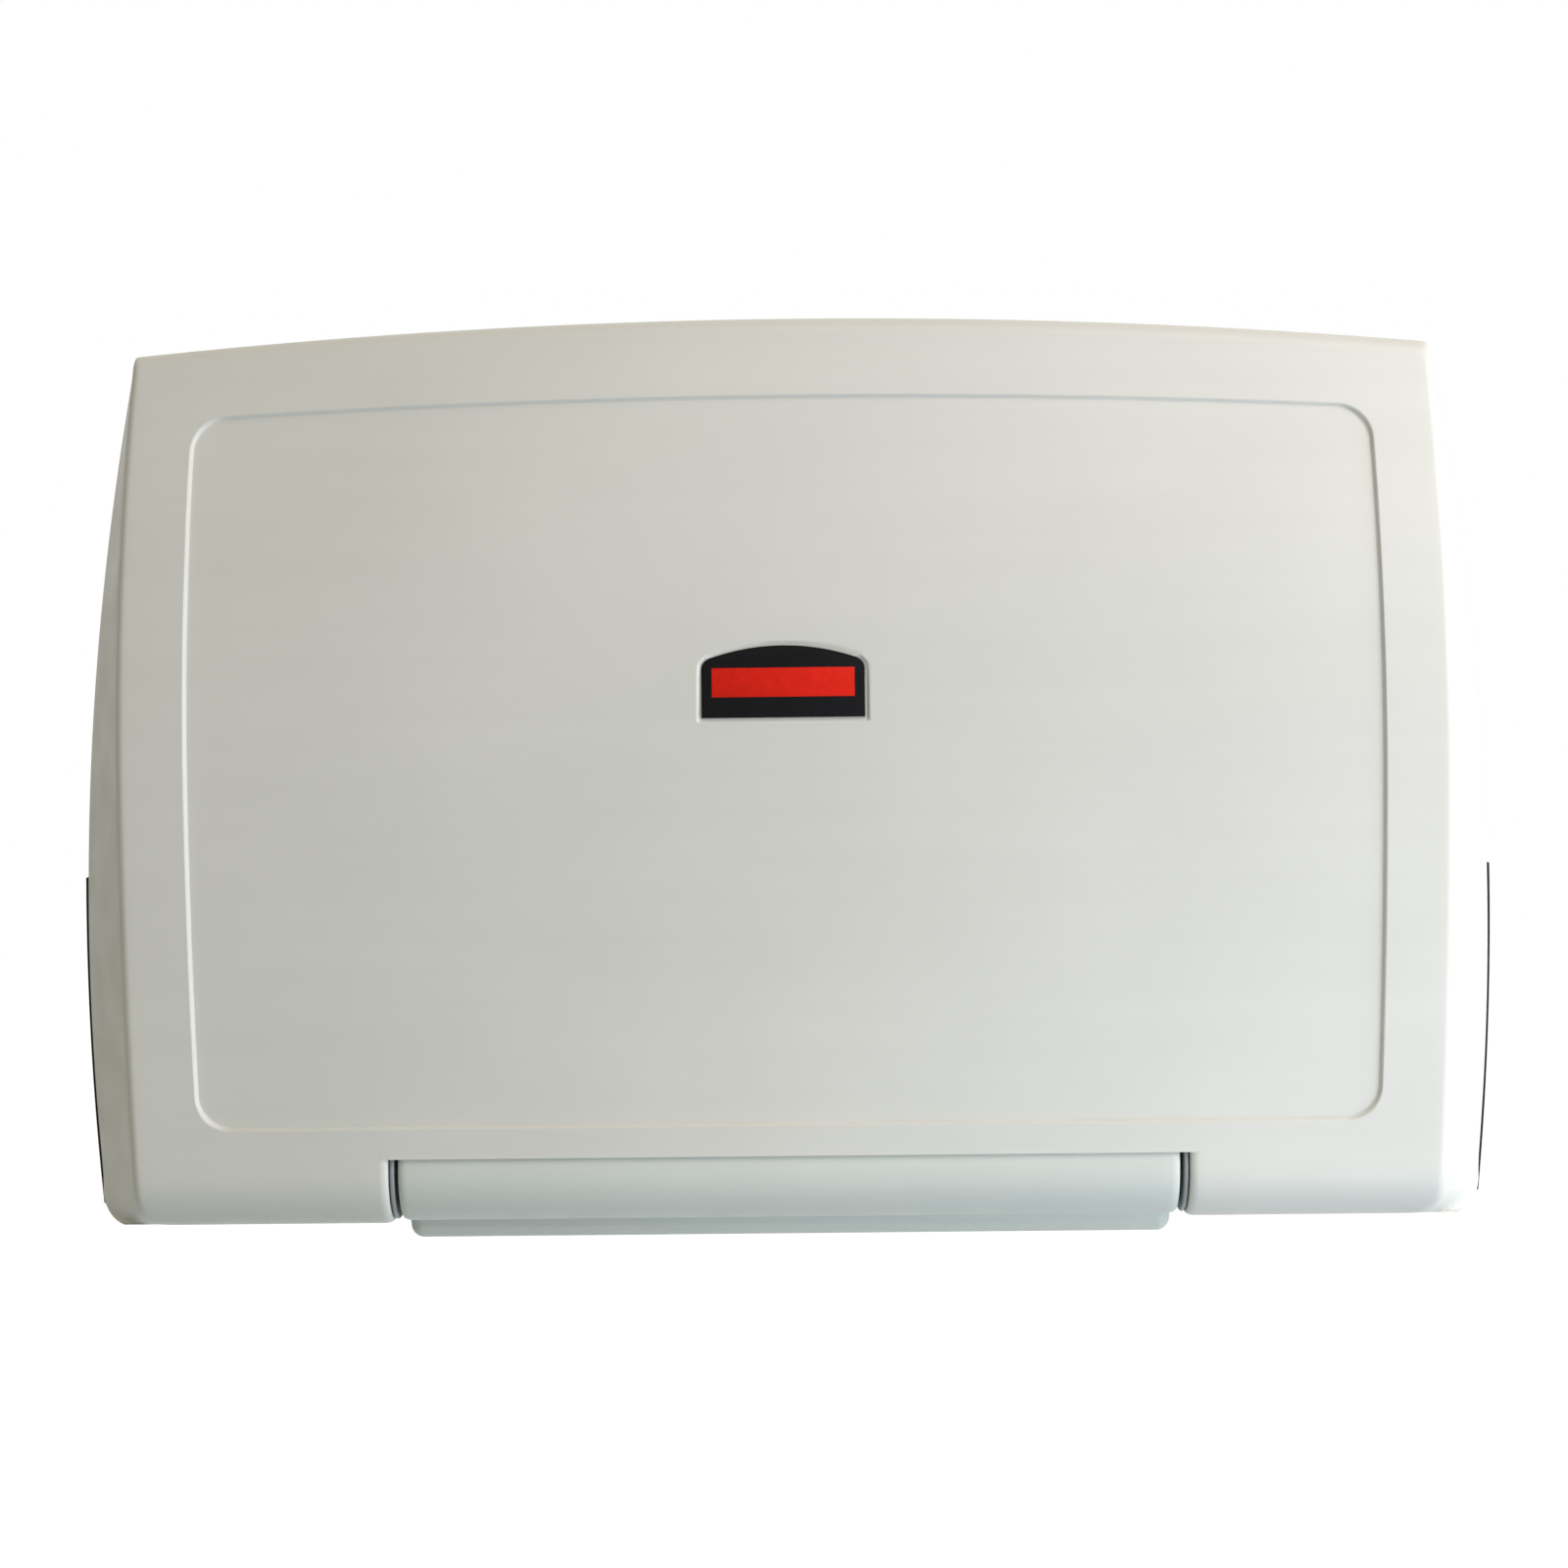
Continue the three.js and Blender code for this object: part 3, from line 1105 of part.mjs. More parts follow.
// A flanged bush in the end wall of the centre barrel, its flange outside.
function barrelBush() {
  const bore = BUSH_RADIUS - BUSH_WALL;
  const rim = BUSH_RADIUS + BUSH_WALL;
  return turned(
    [
      [bore, -BUSH_LENGTH], [BUSH_RADIUS, -BUSH_LENGTH], [BUSH_RADIUS, GAP], [rim, GAP],
      [rim, GAP + BUSH_FLANGE], [bore, GAP + BUSH_FLANGE], [bore, -BUSH_LENGTH],
    ],
    ROUND,
  );
}

const ringOnRod = (outer, thickness) => {
  const bore = ROD_RADIUS + GAP;
  return turned(
    [[bore, 0], [outer, 0], [outer, thickness], [bore, thickness], [bore, 0]],
    ROUND,
  );
};

// Places a piece that is turned about +Y on the hinge axis, pointing away from the centre.
function onHinge(mesh, x, sign) {
  mesh.position.set(sign * x, HINGE_Y, 0);
  mesh.rotation.z = -sign * (Math.PI / 2);
  return mesh;
}

function at(mesh, x, y, z) {
  mesh.position.set(x, y, z);
  return mesh;
}

// Assembly

const wallUnit = new THREE.Group();
wallUnit.add(
  piece("wall_panel", wallPanel(), SHELL),
  piece("hinge_rail", hingeRail(), ZINC_STEEL),
  piece("hinge_rod", barX(ROD_RADIUS, -ROD_HALF, ROD_HALF, HINGE_Y, 0), POLISHED_STEEL),
);
for (const [place, x] of Object.entries(BRACKET_XS)) {
  wallUnit.add(piece(`hinge_bracket_${place}`, hingeBracket(x), ZINC_STEEL));
}
for (const [side, sign] of Object.entries(SIDES)) {
  const hookScrew = panScrew(HOOK_SCREW, HOOK_SCREW.length);
  const hookFaceY = RECESS_Y - 2 * GAP - HOOK_BASE_THICKNESS;
  wallUnit.add(
    piece(`mounting_rail_${side}`, mountingRail(sign), ZINC_STEEL),
    piece(`crank_disc_${side}`, crankDisc(sign), ZINC_STEEL),
    piece(`edge_strip_${side}`, edgeStrip(sign), BLACK_RUBBER),
    piece(`bag_hook_${side}`, bagHook(sign), GREY_PLASTIC),
    onHinge(piece(`barrel_bush_${side}`, barrelBush(), NYLON), CENTRE_BARREL_HALF, sign),
    onHinge(
      piece(`spacer_ring_${side}`, ringOnRod(RING_RADIUS, RING_THICKNESS), GREY_PLASTIC),
      RING_X, sign,
    ),
    onHinge(
      piece(`rod_clip_${side}`, ringOnRod(ROD_RADIUS + CLIP_WALL, CLIP_THICKNESS), ZINC_STEEL),
      CLIP_X, sign,
    ),
    at(
      piece(`hook_screw_${side}`, hookScrew, ZINC_STEEL),
      sign * HOOK_X, hookFaceY, HOOK_Z + HOOK_SCREW_Z,
    ),
    at(
      piece(`closing_bumper_${side}`, bumper(), BLACK_RUBBER),
      sign * BUMPER_X, PANEL_Y - GAP, BUMPER_Z,
    ),
  );
}
for (const { name, x, z } of screwSeats) {
  const screw = panScrew(PANEL_SCREW, -RECESS_Y);
  wallUnit.add(at(piece(name, screw, ZINC_STEEL), x, RECESS_Y - GAP, z));
}

const cover = new THREE.Group();
cover.add(piece("liner_cover", linerCover(), SHELL));

const bed = new THREE.Group();
const badge = badgeGroup();
badge.add(
  piece("badge_plate", alongY(badgeOutline(0), BADGE_SINK + BADGE_THICKNESS, BADGE_SINK), BADGE),
);
bed.add(
  piece("bed_outer_shell", bedOuterShell(), SHELL),
  piece("bed_tray", bedTray(), SHELL),
  piece("bed_cross_rail", crossRail(), ZINC_STEEL),
  badge,
  piece("buckle_housing", buckleHousing(), BLACK_PLASTIC),
  piece("buckle_tongue", buckleTongue(), BLACK_PLASTIC),
  piece("buckle_button", buckleButton(), BUTTON_RED),
);
const beltEnds = {
  left: -BUCKLE_LENGTH - GAP,
  right: TONGUE_LENGTH - TONGUE_REACH + GAP,
};
for (const [side, sign] of Object.entries(SIDES)) {
  const beltStart = sign * (BELT_ANCHOR_X + ANCHOR_LENGTH / 2 - GAP);
  const tube = at(piece(`gas_tube_${side}`, gasTube(), GAS_BLACK), sign * GAS_X, GAS_Y, GAS_TUBE_Z);
  tube.rotation.x = Math.PI / 2;
  const nut = at(
    piece(`gas_nut_${side}`, gasNut(), ZINC_STEEL),
    sign * GAS_X, GAS_Y, CROSS_RAIL_Z + CROSS_RAIL_GAUGE + GAP + GAS_NUT_HEIGHT / 2,
  );
  nut.rotation.x = Math.PI / 2;
  bed.add(
    piece(`hinge_arm_inner_${side}`, hingeArm(INNER_ARM_X, sign, true), ZINC_STEEL),
    piece(`hinge_arm_outer_${side}`, hingeArm(OUTER_ARM_X, sign, false), ZINC_STEEL),
    onHinge(piece(`arm_bush_inner_${side}`, armBush(), NYLON), INNER_ARM_X, sign),
    onHinge(piece(`arm_bush_outer_${side}`, armBush(), NYLON), OUTER_ARM_X, sign),
    piece(`stop_pin_${side}`, stopPin(sign), ZINC_STEEL),
    tube,
    nut,
    piece(`gas_rod_${side}`, gasRod(sign), POLISHED_STEEL),
    piece(`belt_${side}`, beltHalf(beltStart, beltEnds[side]), WEBBING),
    piece(`belt_anchor_${side}`, beltAnchor(sign), BLACK_PLASTIC),
  );
}
for (const { name, x, z } of traySeats) {
  bed.add(at(piece(name, trayScrew(), ZINC_STEEL), x, RIM_Y, z));
}

const station = new THREE.Group();
station.add(wallUnit, cover, bed);

export default station;
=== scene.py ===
"""Looks of a fold-down baby changing station: moulded shells, hinge barrel, tray, belt and studio."""

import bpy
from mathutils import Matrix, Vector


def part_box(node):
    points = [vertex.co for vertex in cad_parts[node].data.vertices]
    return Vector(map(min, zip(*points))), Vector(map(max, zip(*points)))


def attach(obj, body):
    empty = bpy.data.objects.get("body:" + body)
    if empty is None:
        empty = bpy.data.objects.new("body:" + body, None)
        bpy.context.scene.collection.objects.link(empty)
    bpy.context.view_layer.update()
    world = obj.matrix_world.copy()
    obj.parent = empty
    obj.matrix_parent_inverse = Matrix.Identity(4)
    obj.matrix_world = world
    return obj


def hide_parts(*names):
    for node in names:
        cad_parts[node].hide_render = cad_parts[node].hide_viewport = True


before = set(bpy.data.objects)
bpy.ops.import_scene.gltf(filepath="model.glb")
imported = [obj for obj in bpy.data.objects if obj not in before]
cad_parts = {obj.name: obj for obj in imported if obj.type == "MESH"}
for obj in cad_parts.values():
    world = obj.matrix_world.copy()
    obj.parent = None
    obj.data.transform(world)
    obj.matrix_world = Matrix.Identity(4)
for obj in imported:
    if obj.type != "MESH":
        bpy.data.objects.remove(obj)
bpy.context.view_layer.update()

import logging
import math
from collections.abc import Callable, Iterable, Sequence
from dataclasses import dataclass
from enum import Enum
from functools import cache, cached_property

import bmesh
import bpy
from mathutils import Matrix, Vector

LOG = logging.getLogger("changing_station")
MM = 0.001
TOUCH = 0.01 * MM
CORNER_REACH = 1.45
SHARP_ANGLE = 38.0
CRISP_ANGLE = 30.0
ACROSS = Vector((1, 0, 0))
TO_WALL = Vector((0, 1, 0))
TO_ROOM = Vector((0, -1, 0))
UP = Vector((0, 0, 1))
Mesh = bmesh.types.BMesh
Edges = list[bmesh.types.BMEdge]
Socket = bpy.types.NodeSocket
Pair = tuple[float, float]
Color = tuple[float, float, float]
Place = tuple[float, float, float]
Value = float | tuple[float, ...] | Socket


class Side(Enum):
    """The two mirrored sides of the station."""

    LEFT = -1
    RIGHT = 1

    @property
    def word(self) -> str:
        """The side's name, as used in piece names."""
        return self.name.lower()


# Lines and curves


def lerp(start: float, end: float, share: float) -> float:
    """Mix of two numbers."""
    return start + (end - start) * share


def smooth(value: float, run: float) -> float:
    """Smooth step from 0 to 1 while value goes from 0 to run."""
    share = min(max(value / run, 0.0), 1.0)
    return share * share * (3.0 - 2.0 * share)


def quarter(distance: float, radius: float) -> float:
    """Set-back of a quarter-round edge, from the radius at the edge to 0 a radius inside it."""
    inside = radius - min(max(distance, 0.0), radius)
    return radius - math.sqrt(radius * radius - inside * inside)


def curve(start: Vector, corner: Vector, end: Vector, share: float) -> Vector:
    """Point on a curve that rounds a corner."""
    return start.lerp(corner, share).lerp(corner.lerp(end, share), share)


def steady(width: float) -> Callable[[float], float]:
    """A half width that is the same at every height."""
    return lambda z: width


def spaced(start: float, *stretches: tuple[float, int]) -> list[float]:
    """Places along a line.

    Args:
        start: the first place.
        stretches: the end of each stretch and the number of steps in it.

    Returns:
        All places in order, with no place twice.
    """
    places = [start]
    for end, count in stretches:
        begin = places[-1]
        places += [lerp(begin, end, i / count) for i in range(1, count + 1)]
    return places


def quarter_turn(steps: int) -> list[float]:
    """Angles from 0 to a right angle."""
    return spaced(0.0, (math.pi / 2, steps))


# Work on a bmesh


def mapped_grid(columns: Sequence, rows: Sequence, place: Callable[..., Place]) -> Mesh:
    """A sheet of quads laid over a curved surface.

    Args:
        columns: one entry for each line of vertices along the sheet.
        rows: one entry for each line of vertices across it.
        place: gives the position of the vertex where a column and a row cross.

    Returns:
        A new bmesh that holds the sheet.
    """
    sheet = bmesh.new()
    across, along = len(columns) - 1, len(rows) - 1
    half = 0.5
    bmesh.ops.create_grid(sheet, x_segments=across, y_segments=along, size=half)
    for vert in sheet.verts:
        column = columns[round((vert.co.x + half) * across)]
        row = rows[round((vert.co.y + half) * along)]
        vert.co = place(column, row)
    return sheet


def all_of(mesh: Mesh) -> list:
    """Vertices, edges and faces of a bmesh."""
    return mesh.verts[:] + mesh.edges[:] + mesh.faces[:]


def verts_of(geometry: Iterable) -> list[bmesh.types.BMVert]:
    """The vertices among an operator's results."""
    return [item for item in geometry if isinstance(item, bmesh.types.BMVert)]


def open_edges(mesh: Mesh) -> Edges:
    """Edges with a face on one side only."""
    return [edge for edge in mesh.edges if edge.is_boundary]


def merge_into(target: Mesh, *sources: Mesh) -> Mesh:
    """Adds other bmeshes to a bmesh and frees them.

    Args:
        target: the bmesh that grows.
        sources: the bmeshes that go into it.

    Returns:
        The same target.
    """
    for source in sources:
        carrier = bpy.data.meshes.new("carrier")
        source.to_mesh(carrier)
        source.free()
        target.from_mesh(carrier)
        bpy.data.meshes.remove(carrier)
    return target


def weld(mesh: Mesh) -> None:
    """Merges vertices that lie on each other and drops faces with no area."""
    bmesh.ops.remove_doubles(mesh, verts=mesh.verts[:], dist=TOUCH)
    bmesh.ops.dissolve_degenerate(mesh, edges=mesh.edges[:], dist=TOUCH)


def mirror_x(mesh: Mesh) -> None:
    """Completes a right half with its mirror image and welds the middle."""
    bmesh.ops.mirror(mesh, geom=all_of(mesh), axis="X", merge_dist=TOUCH)
    weld(mesh)


def even_normals(mesh: Mesh) -> None:
    """Turns neighbouring faces the same way, outwards where the bmesh is closed."""
    bmesh.ops.recalc_face_normals(mesh, faces=mesh.faces[:])


def face_outwards(mesh: Mesh, towards: Vector) -> None:
    """Turns all faces the same way, so that the face furthest along a direction looks that way."""
    even_normals(mesh)
    outermost = max(mesh.faces, key=lambda face: face.calc_center_median().dot(towards))
    if outermost.normal.dot(towards) < 0:
        bmesh.ops.reverse_faces(mesh, faces=mesh.faces[:])


def cut_out(mesh: Mesh, test: Callable[[Vector], bool]) -> None:
    """Deletes the faces whose middle passes a test."""
    gone = [face for face in mesh.faces if test(face.calc_center_median())]
    bmesh.ops.delete(mesh, geom=gone, context="FACES")


def close_holes(mesh: Mesh) -> None:
    """Fills all open edges with faces and turns the faces outwards."""
    bmesh.ops.holes_fill(mesh, edges=open_edges(mesh), sides=0)
    even_normals(mesh)


def slice_at(mesh: Mesh, point: Vector, normal: Vector) -> None:
    """Cuts new edges where a plane crosses a bmesh."""
    bmesh.ops.bisect_plane(mesh, geom=all_of(mesh), plane_co=point, plane_no=normal)


def round_edges(mesh: Mesh, edges: Edges, radius: float, segments: int) -> None:
    """Rounds edges of a bmesh."""
    bmesh.ops.bevel(
        mesh, geom=edges, offset=radius, segments=segments, profile=0.5, affect="EDGES", material=-1
    )


def skirt_to_wall(mesh: Mesh, edges: Edges) -> None:
    """Draws edges straight back to the wall."""
    for vert in verts_of(bmesh.ops.extrude_edge_only(mesh, edges=edges)["geom"]):
        vert.co.y = 0.0


def thicken(mesh: Mesh, wall: float, share: Callable[[Vector], float] | None = None) -> None:
    """Gives a sheet its wall, inwards from its faces, and a little further in at corners.

    Args:
        mesh: the open sheet, with outward faces.
        wall: thickness of the wall.
        share: gives the share of the thickness at a place, where it isn't the same all over.
    """
    mesh.normal_update()
    inner = {}
    for vert in mesh.verts:
        depth = wall * min(vert.calc_shell_factor(), CORNER_REACH)
        if share is not None:
            depth *= share(vert.co)
        inner[vert.co.to_tuple()] = vert.co - vert.normal * depth
    made = bmesh.ops.extrude_face_region(mesh, geom=all_of(mesh), use_keep_orig=True)["geom"]
    for vert in verts_of(made):
        vert.co = inner[vert.co.to_tuple()]
    even_normals(mesh)


def ring_hole(mesh: Mesh, loop: Edges, centre: Vector, radius: float, sides: int) -> None:
    """Closes a loop that lies in a plane across X with a flat wall that has a round hole.

    Args:
        mesh: the bmesh that holds the loop.
        loop: edges of the wall's outer edge.
        centre: middle of the hole.
        radius: radius of the hole.
        sides: vertices round the hole.
    """
    turn = Matrix.Translation(centre) @ Matrix.Rotation(math.pi / 2, 4, "Y")
    made = bmesh.ops.create_circle(mesh, cap_ends=False, segments=sides, radius=radius, matrix=turn)
    hole = list({edge for vert in made["verts"] for edge in vert.link_edges})
    bmesh.ops.bridge_loops(mesh, edges=loop + hole)


def turned(profile: Sequence[Pair], axis: Vector, centre: Vector, steps: int) -> Mesh:
    """A round piece: a profile of (radius, height) points spun about an axis through a centre.

    Args:
        profile: points from one end of the section to the other.
        axis: direction of the axis, along which heights are measured.
        centre: point on the axis at height 0.
        steps: vertices round the piece.

    Returns:
        A new bmesh with outward faces.
    """
    mesh = bmesh.new()
    outward = axis.orthogonal().normalized()
    verts = [mesh.verts.new(centre + outward * r + axis * h) for r, h in profile]
    edges = [mesh.edges.new(pair) for pair in zip(verts, verts[1:])]
    bmesh.ops.spin(
        mesh, geom=verts + edges, cent=centre, axis=axis, angle=2 * math.pi, steps=steps, use_merge=True
    )
    weld(mesh)
    even_normals(mesh)
    return mesh


def bevelled_block(low: Vector, high: Vector, radius: float, segments: int = 3) -> Mesh:
    """A block with all its edges rounded.

    Args:
        low: lowest corner.
        high: highest corner.
        radius: radius of the edges.
        segments: faces across each rounded edge.

    Returns:
        A new bmesh.
    """
    mesh = bmesh.new()
    bmesh.ops.create_cube(mesh, size=1.0)
    bmesh.ops.scale(mesh, vec=high - low, verts=mesh.verts[:])
    bmesh.ops.translate(mesh, vec=(low + high) / 2, verts=mesh.verts[:])
    round_edges(mesh, mesh.edges[:], radius, segments)
    return mesh


def faces_towards(mesh: Mesh, direction: Vector) -> list[bmesh.types.BMFace]:
    """The faces that look straight in a direction."""
    straight = 0.99
    return [face for face in mesh.faces if face.normal.dot(direction) > straight]


def dish(mesh: Mesh, margin: float, depth: float) -> None:
    """Sinks the middle of a block's face on the wall side, inside a margin."""
    top = max(faces_towards(mesh, TO_WALL), key=lambda face: face.calc_area())
    bmesh.ops.inset_region(mesh, faces=[top], thickness=margin, depth=0.0)
    bmesh.ops.translate(mesh, vec=TO_ROOM * depth, verts=top.verts[:])


def rounded_section(half_width: float, half_depth: float, corner: float, steps: int = 4) -> list[Pair]:
    """Points round a rectangle with round corners.

    Args:
        half_width: half of its width.
        half_depth: half of its depth.
        corner: radius of the corners.
        steps: steps round each corner.

    Returns:
        The points in order.
    """
    points = []
    for index, (across, up) in enumerate(((1, 1), (-1, 1), (-1, -1), (1, -1))):
        for turn in quarter_turn(steps):
            angle = index * math.pi / 2 + turn
            points.append((
                across * (half_width - corner) + corner * math.cos(angle),
                up * (half_depth - corner) + corner * math.sin(angle),
            ))
    return points


@dataclass(frozen=True)
class Station:
    """A place along a swept bar: its middle, the direction of the section's depth and a scale."""

    middle: Vector
    depth: Vector
    scale: float = 1.0

    def place(self, across: float, depth: float) -> Vector:
        """Place of a point of the section."""
        return self.middle + (ACROSS * across + self.depth * depth) * self.scale


def swept_bar(section: Sequence[Pair], path: Sequence[Station]) -> Mesh:
    """A closed bar swept along a path in a plane across X.

    Args:
        section: points (x, depth) round the bar's section.
        path: the stations along the bar.

    Returns:
        A new bmesh with capped ends and outward faces.
    """
    mesh = mapped_grid([*section, section[0]], path, lambda point, station: station.place(*point))
    weld(mesh)
    close_holes(mesh)
    return mesh


# Finishes


class Nodes:
    """A node tree, with short calls to add and link nodes."""

    def __init__(self, tree: bpy.types.NodeTree) -> None:
        """Starts with an empty tree."""
        self.tree = tree
        tree.nodes.clear()

    def add(self, kind: str, inputs: dict[int | str, Value], **settings: str) -> bpy.types.Node:
        """Adds a node.

        Args:
            kind: the node's type, without its ShaderNode prefix.
            inputs: values or output sockets for its named or numbered inputs.
            settings: its own properties.

        Returns:
            The new node.
        """
        node = self.tree.nodes.new("ShaderNode" + kind)
        for key, setting in settings.items():
            setattr(node, key, setting)
        for key, value in inputs.items():
            self.feed(node.inputs[key], value)
        return node

    def feed(self, socket: Socket, value: Value) -> None:
        """Links an output to a socket, or sets the socket's own value."""
        if isinstance(value, Socket):
            self.tree.links.new(value, socket)
        else:
            socket.default_value = value

    def compute(self, operation: str, *values: Value) -> Socket:
        """Result of a math node."""
        return self.add("Math", dict(enumerate(values)), operation=operation).outputs[0]

    def remap(self, value: Socket, source: Pair, target: Pair) -> Socket:
        """Maps a value from one range to another."""
        return self.add("MapRange", dict(enumerate((value, *source, *target)))).outputs[0]

    def blend(self, share: Socket, first: Value, second: Value) -> Socket:
        """Mixes two colours."""
        return self.add("Mix", {0: share, 6: first, 7: second}, data_type="RGBA").outputs[2]

    def seen_share(self) -> Socket:
        """1 for rays from the camera, reflections and glass, 0 for light."""
        path = self.add("LightPath", {})
        largest = path.outputs["Is Camera Ray"]
        for ray in ("Is Glossy Ray", "Is Transmission Ray"):
            largest = self.compute("MAXIMUM", largest, path.outputs[ray])
        return largest


class Surface(Nodes):
    """The node tree of one material's surface."""

    def __init__(self, name: str) -> None:
        """Starts a material with a surface shader."""
        self.material = bpy.data.materials.new(name)
        self.material.use_nodes = True
        super().__init__(self.material.node_tree)
        self.shader = self.add("BsdfPrincipled", {})
        self.add("OutputMaterial", {"Surface": self.shader.outputs["BSDF"]})
        self.object_place = self.add("TexCoord", {}).outputs["Object"]

    def shade(self, **inputs: Value) -> None:
        """Feeds the surface shader's sockets, with underscores for spaces in their names."""
        for key, value in inputs.items():
            self.feed(self.shader.inputs[key.replace("_", " ")], value)

    def noise(self, scale: float, detail: float = 3.0, stretch: Place = (1, 1, 1)) -> Socket:
        """Noise on the piece's own coordinates, per metre, stretched along its axes."""
        mapping = self.add("Mapping", {"Vector": self.object_place, "Scale": stretch})
        node = self.add("TexNoise", {"Vector": mapping.outputs[0], "Scale": scale, "Detail": detail})
        return node.outputs["Fac"]

    def cells(self, scale: float, output: str) -> Socket:
        """An output of a pattern of cells on the piece's own coordinates, per metre."""
        return self.add("TexVoronoi", {"Vector": self.object_place, "Scale": scale}).outputs[output]

    def spread(self, noise: Socket, low: float = 0.0, high: float = 1.0) -> Socket:
        """Maps noise, which stays near its middle, to a range."""
        return self.remap(noise, source=(0.3, 0.7), target=(low, high))

    def bump(self, height: Socket, strength: float, distance: float, under: Socket | None = None) -> Socket:
        """Normal of a relief, laid on another relief where one is given."""
        inputs = {"Height": height, "Strength": strength, "Distance": distance}
        if under is not None:
            inputs["Normal"] = under
        return self.add("Bump", inputs).outputs[0]


def opaque(color: Color) -> tuple[float, float, float, float]:
    """A colour with full cover."""
    return (*color, 1.0)


def shaded(color: Color, factor: float) -> tuple[float, float, float, float]:
    """A colour made darker or lighter by a factor."""
    return opaque(tuple(channel * factor for channel in color))


@dataclass(frozen=True)
class MouldedPlastic:
    """Moulded plastic: a fine spark-eroded grain, faint flow marks, uneven gloss and rubbed edges with a
    painted highlight.
    """

    name: str
    color: Color
    tint: Color
    roughness: Pair = (0.40, 0.52)
    grain: float = 0.12
    mottle: float = 0.035
    flow_mark: float = 0.012

    def material(self) -> bpy.types.Material:
        """Builds the finish.

        Returns:
            The new material.
        """
        nodes = Surface(self.name)
        cloud = nodes.spread(nodes.noise(scale=5.0, detail=4.0))
        base = nodes.blend(cloud, shaded(self.color, 1 - self.mottle), opaque(self.tint))
        flow = nodes.spread(nodes.noise(scale=7.0, detail=5.0, stretch=(0.5, 1.0, 9.0)), -1.0, 1.0)
        value = nodes.compute("MULTIPLY_ADD", flow, self.flow_mark, 1.0)
        marked = nodes.add("HueSaturation", {"Value": value, "Color": base}).outputs[0]
        off_speck = nodes.remap(nodes.cells(210.0, "Distance"), source=(0.02, 0.07), target=(0.0, 1.0))
        specked = nodes.blend(off_speck, shaded(self.color, 0.9), marked)
        # Sharp convex edges are painted lighter: a painted highlight along the edges, together with rubbed
        # wear.
        edges = nodes.add("NewGeometry", {}).outputs["Pointiness"]
        edge_highlight_and_wear = nodes.remap(edges, source=(0.52, 0.62), target=(0.0, 0.35))
        highlighted_and_worn = nodes.blend(edge_highlight_and_wear, specked, shaded(self.color, 1.08))
        gloss = nodes.spread(nodes.noise(scale=38.0, detail=4.0), *self.roughness)
        ripple = nodes.bump(nodes.noise(scale=22.0, detail=2.0), strength=0.05, distance=0.4 * MM)
        normal = nodes.bump(nodes.noise(scale=2600.0, detail=2.0), self.grain, 0.05 * MM, ripple)
        nodes.shade(Base_Color=highlighted_and_worn, Roughness=gloss, Normal=normal, Specular_IOR_Level=0.45)
        return nodes.material


@dataclass(frozen=True)
class Rubber:
    """Matt black rubber with a dusty bloom."""

    name: str
    color: Color

    def material(self) -> bpy.types.Material:
        """Builds the finish.

        Returns:
            The new material.
        """
        nodes = Surface(self.name)
        dust = nodes.spread(nodes.noise(scale=90.0, detail=5.0))
        nodes.shade(Base_Color=nodes.blend(dust, opaque(self.color), shaded(self.color, 1.9)))
        nodes.shade(Roughness=nodes.spread(nodes.noise(scale=160.0), 0.68, 0.86), Specular_IOR_Level=0.25)
        nodes.shade(Normal=nodes.bump(nodes.noise(scale=1500.0), strength=0.25, distance=0.06 * MM))
        return nodes.material


@dataclass(frozen=True)
class Metal:
    """Plated, ground or painted steel with brushing along one axis and uneven gloss."""

    name: str
    color: Color
    metallic: float
    roughness: Pair
    brushing: Place = (1, 1, 1)
    spangle: float = 0.0

    def material(self) -> bpy.types.Material:
        """Builds the finish.

        Returns:
            The new material.
        """
        nodes = Surface(self.name)
        flake = nodes.remap(nodes.cells(160.0, "Color"), source=(0.0, 1.0), target=(0.0, self.spangle))
        streak = nodes.spread(nodes.noise(scale=60.0, detail=5.0, stretch=self.brushing))
        base = nodes.blend(streak, shaded(self.color, 0.88), shaded(self.color, 1.06))
        gloss = nodes.noise(scale=45.0, detail=4.0, stretch=self.brushing)
        scratches = nodes.noise(scale=420.0, stretch=self.brushing)
        nodes.shade(Base_Color=nodes.blend(flake, base, shaded(self.color, 0.7)), Metallic=self.metallic)
        nodes.shade(Roughness=nodes.spread(gloss, *self.roughness))
        nodes.shade(Normal=nodes.bump(scratches, strength=0.12, distance=0.05 * MM))
        return nodes.material


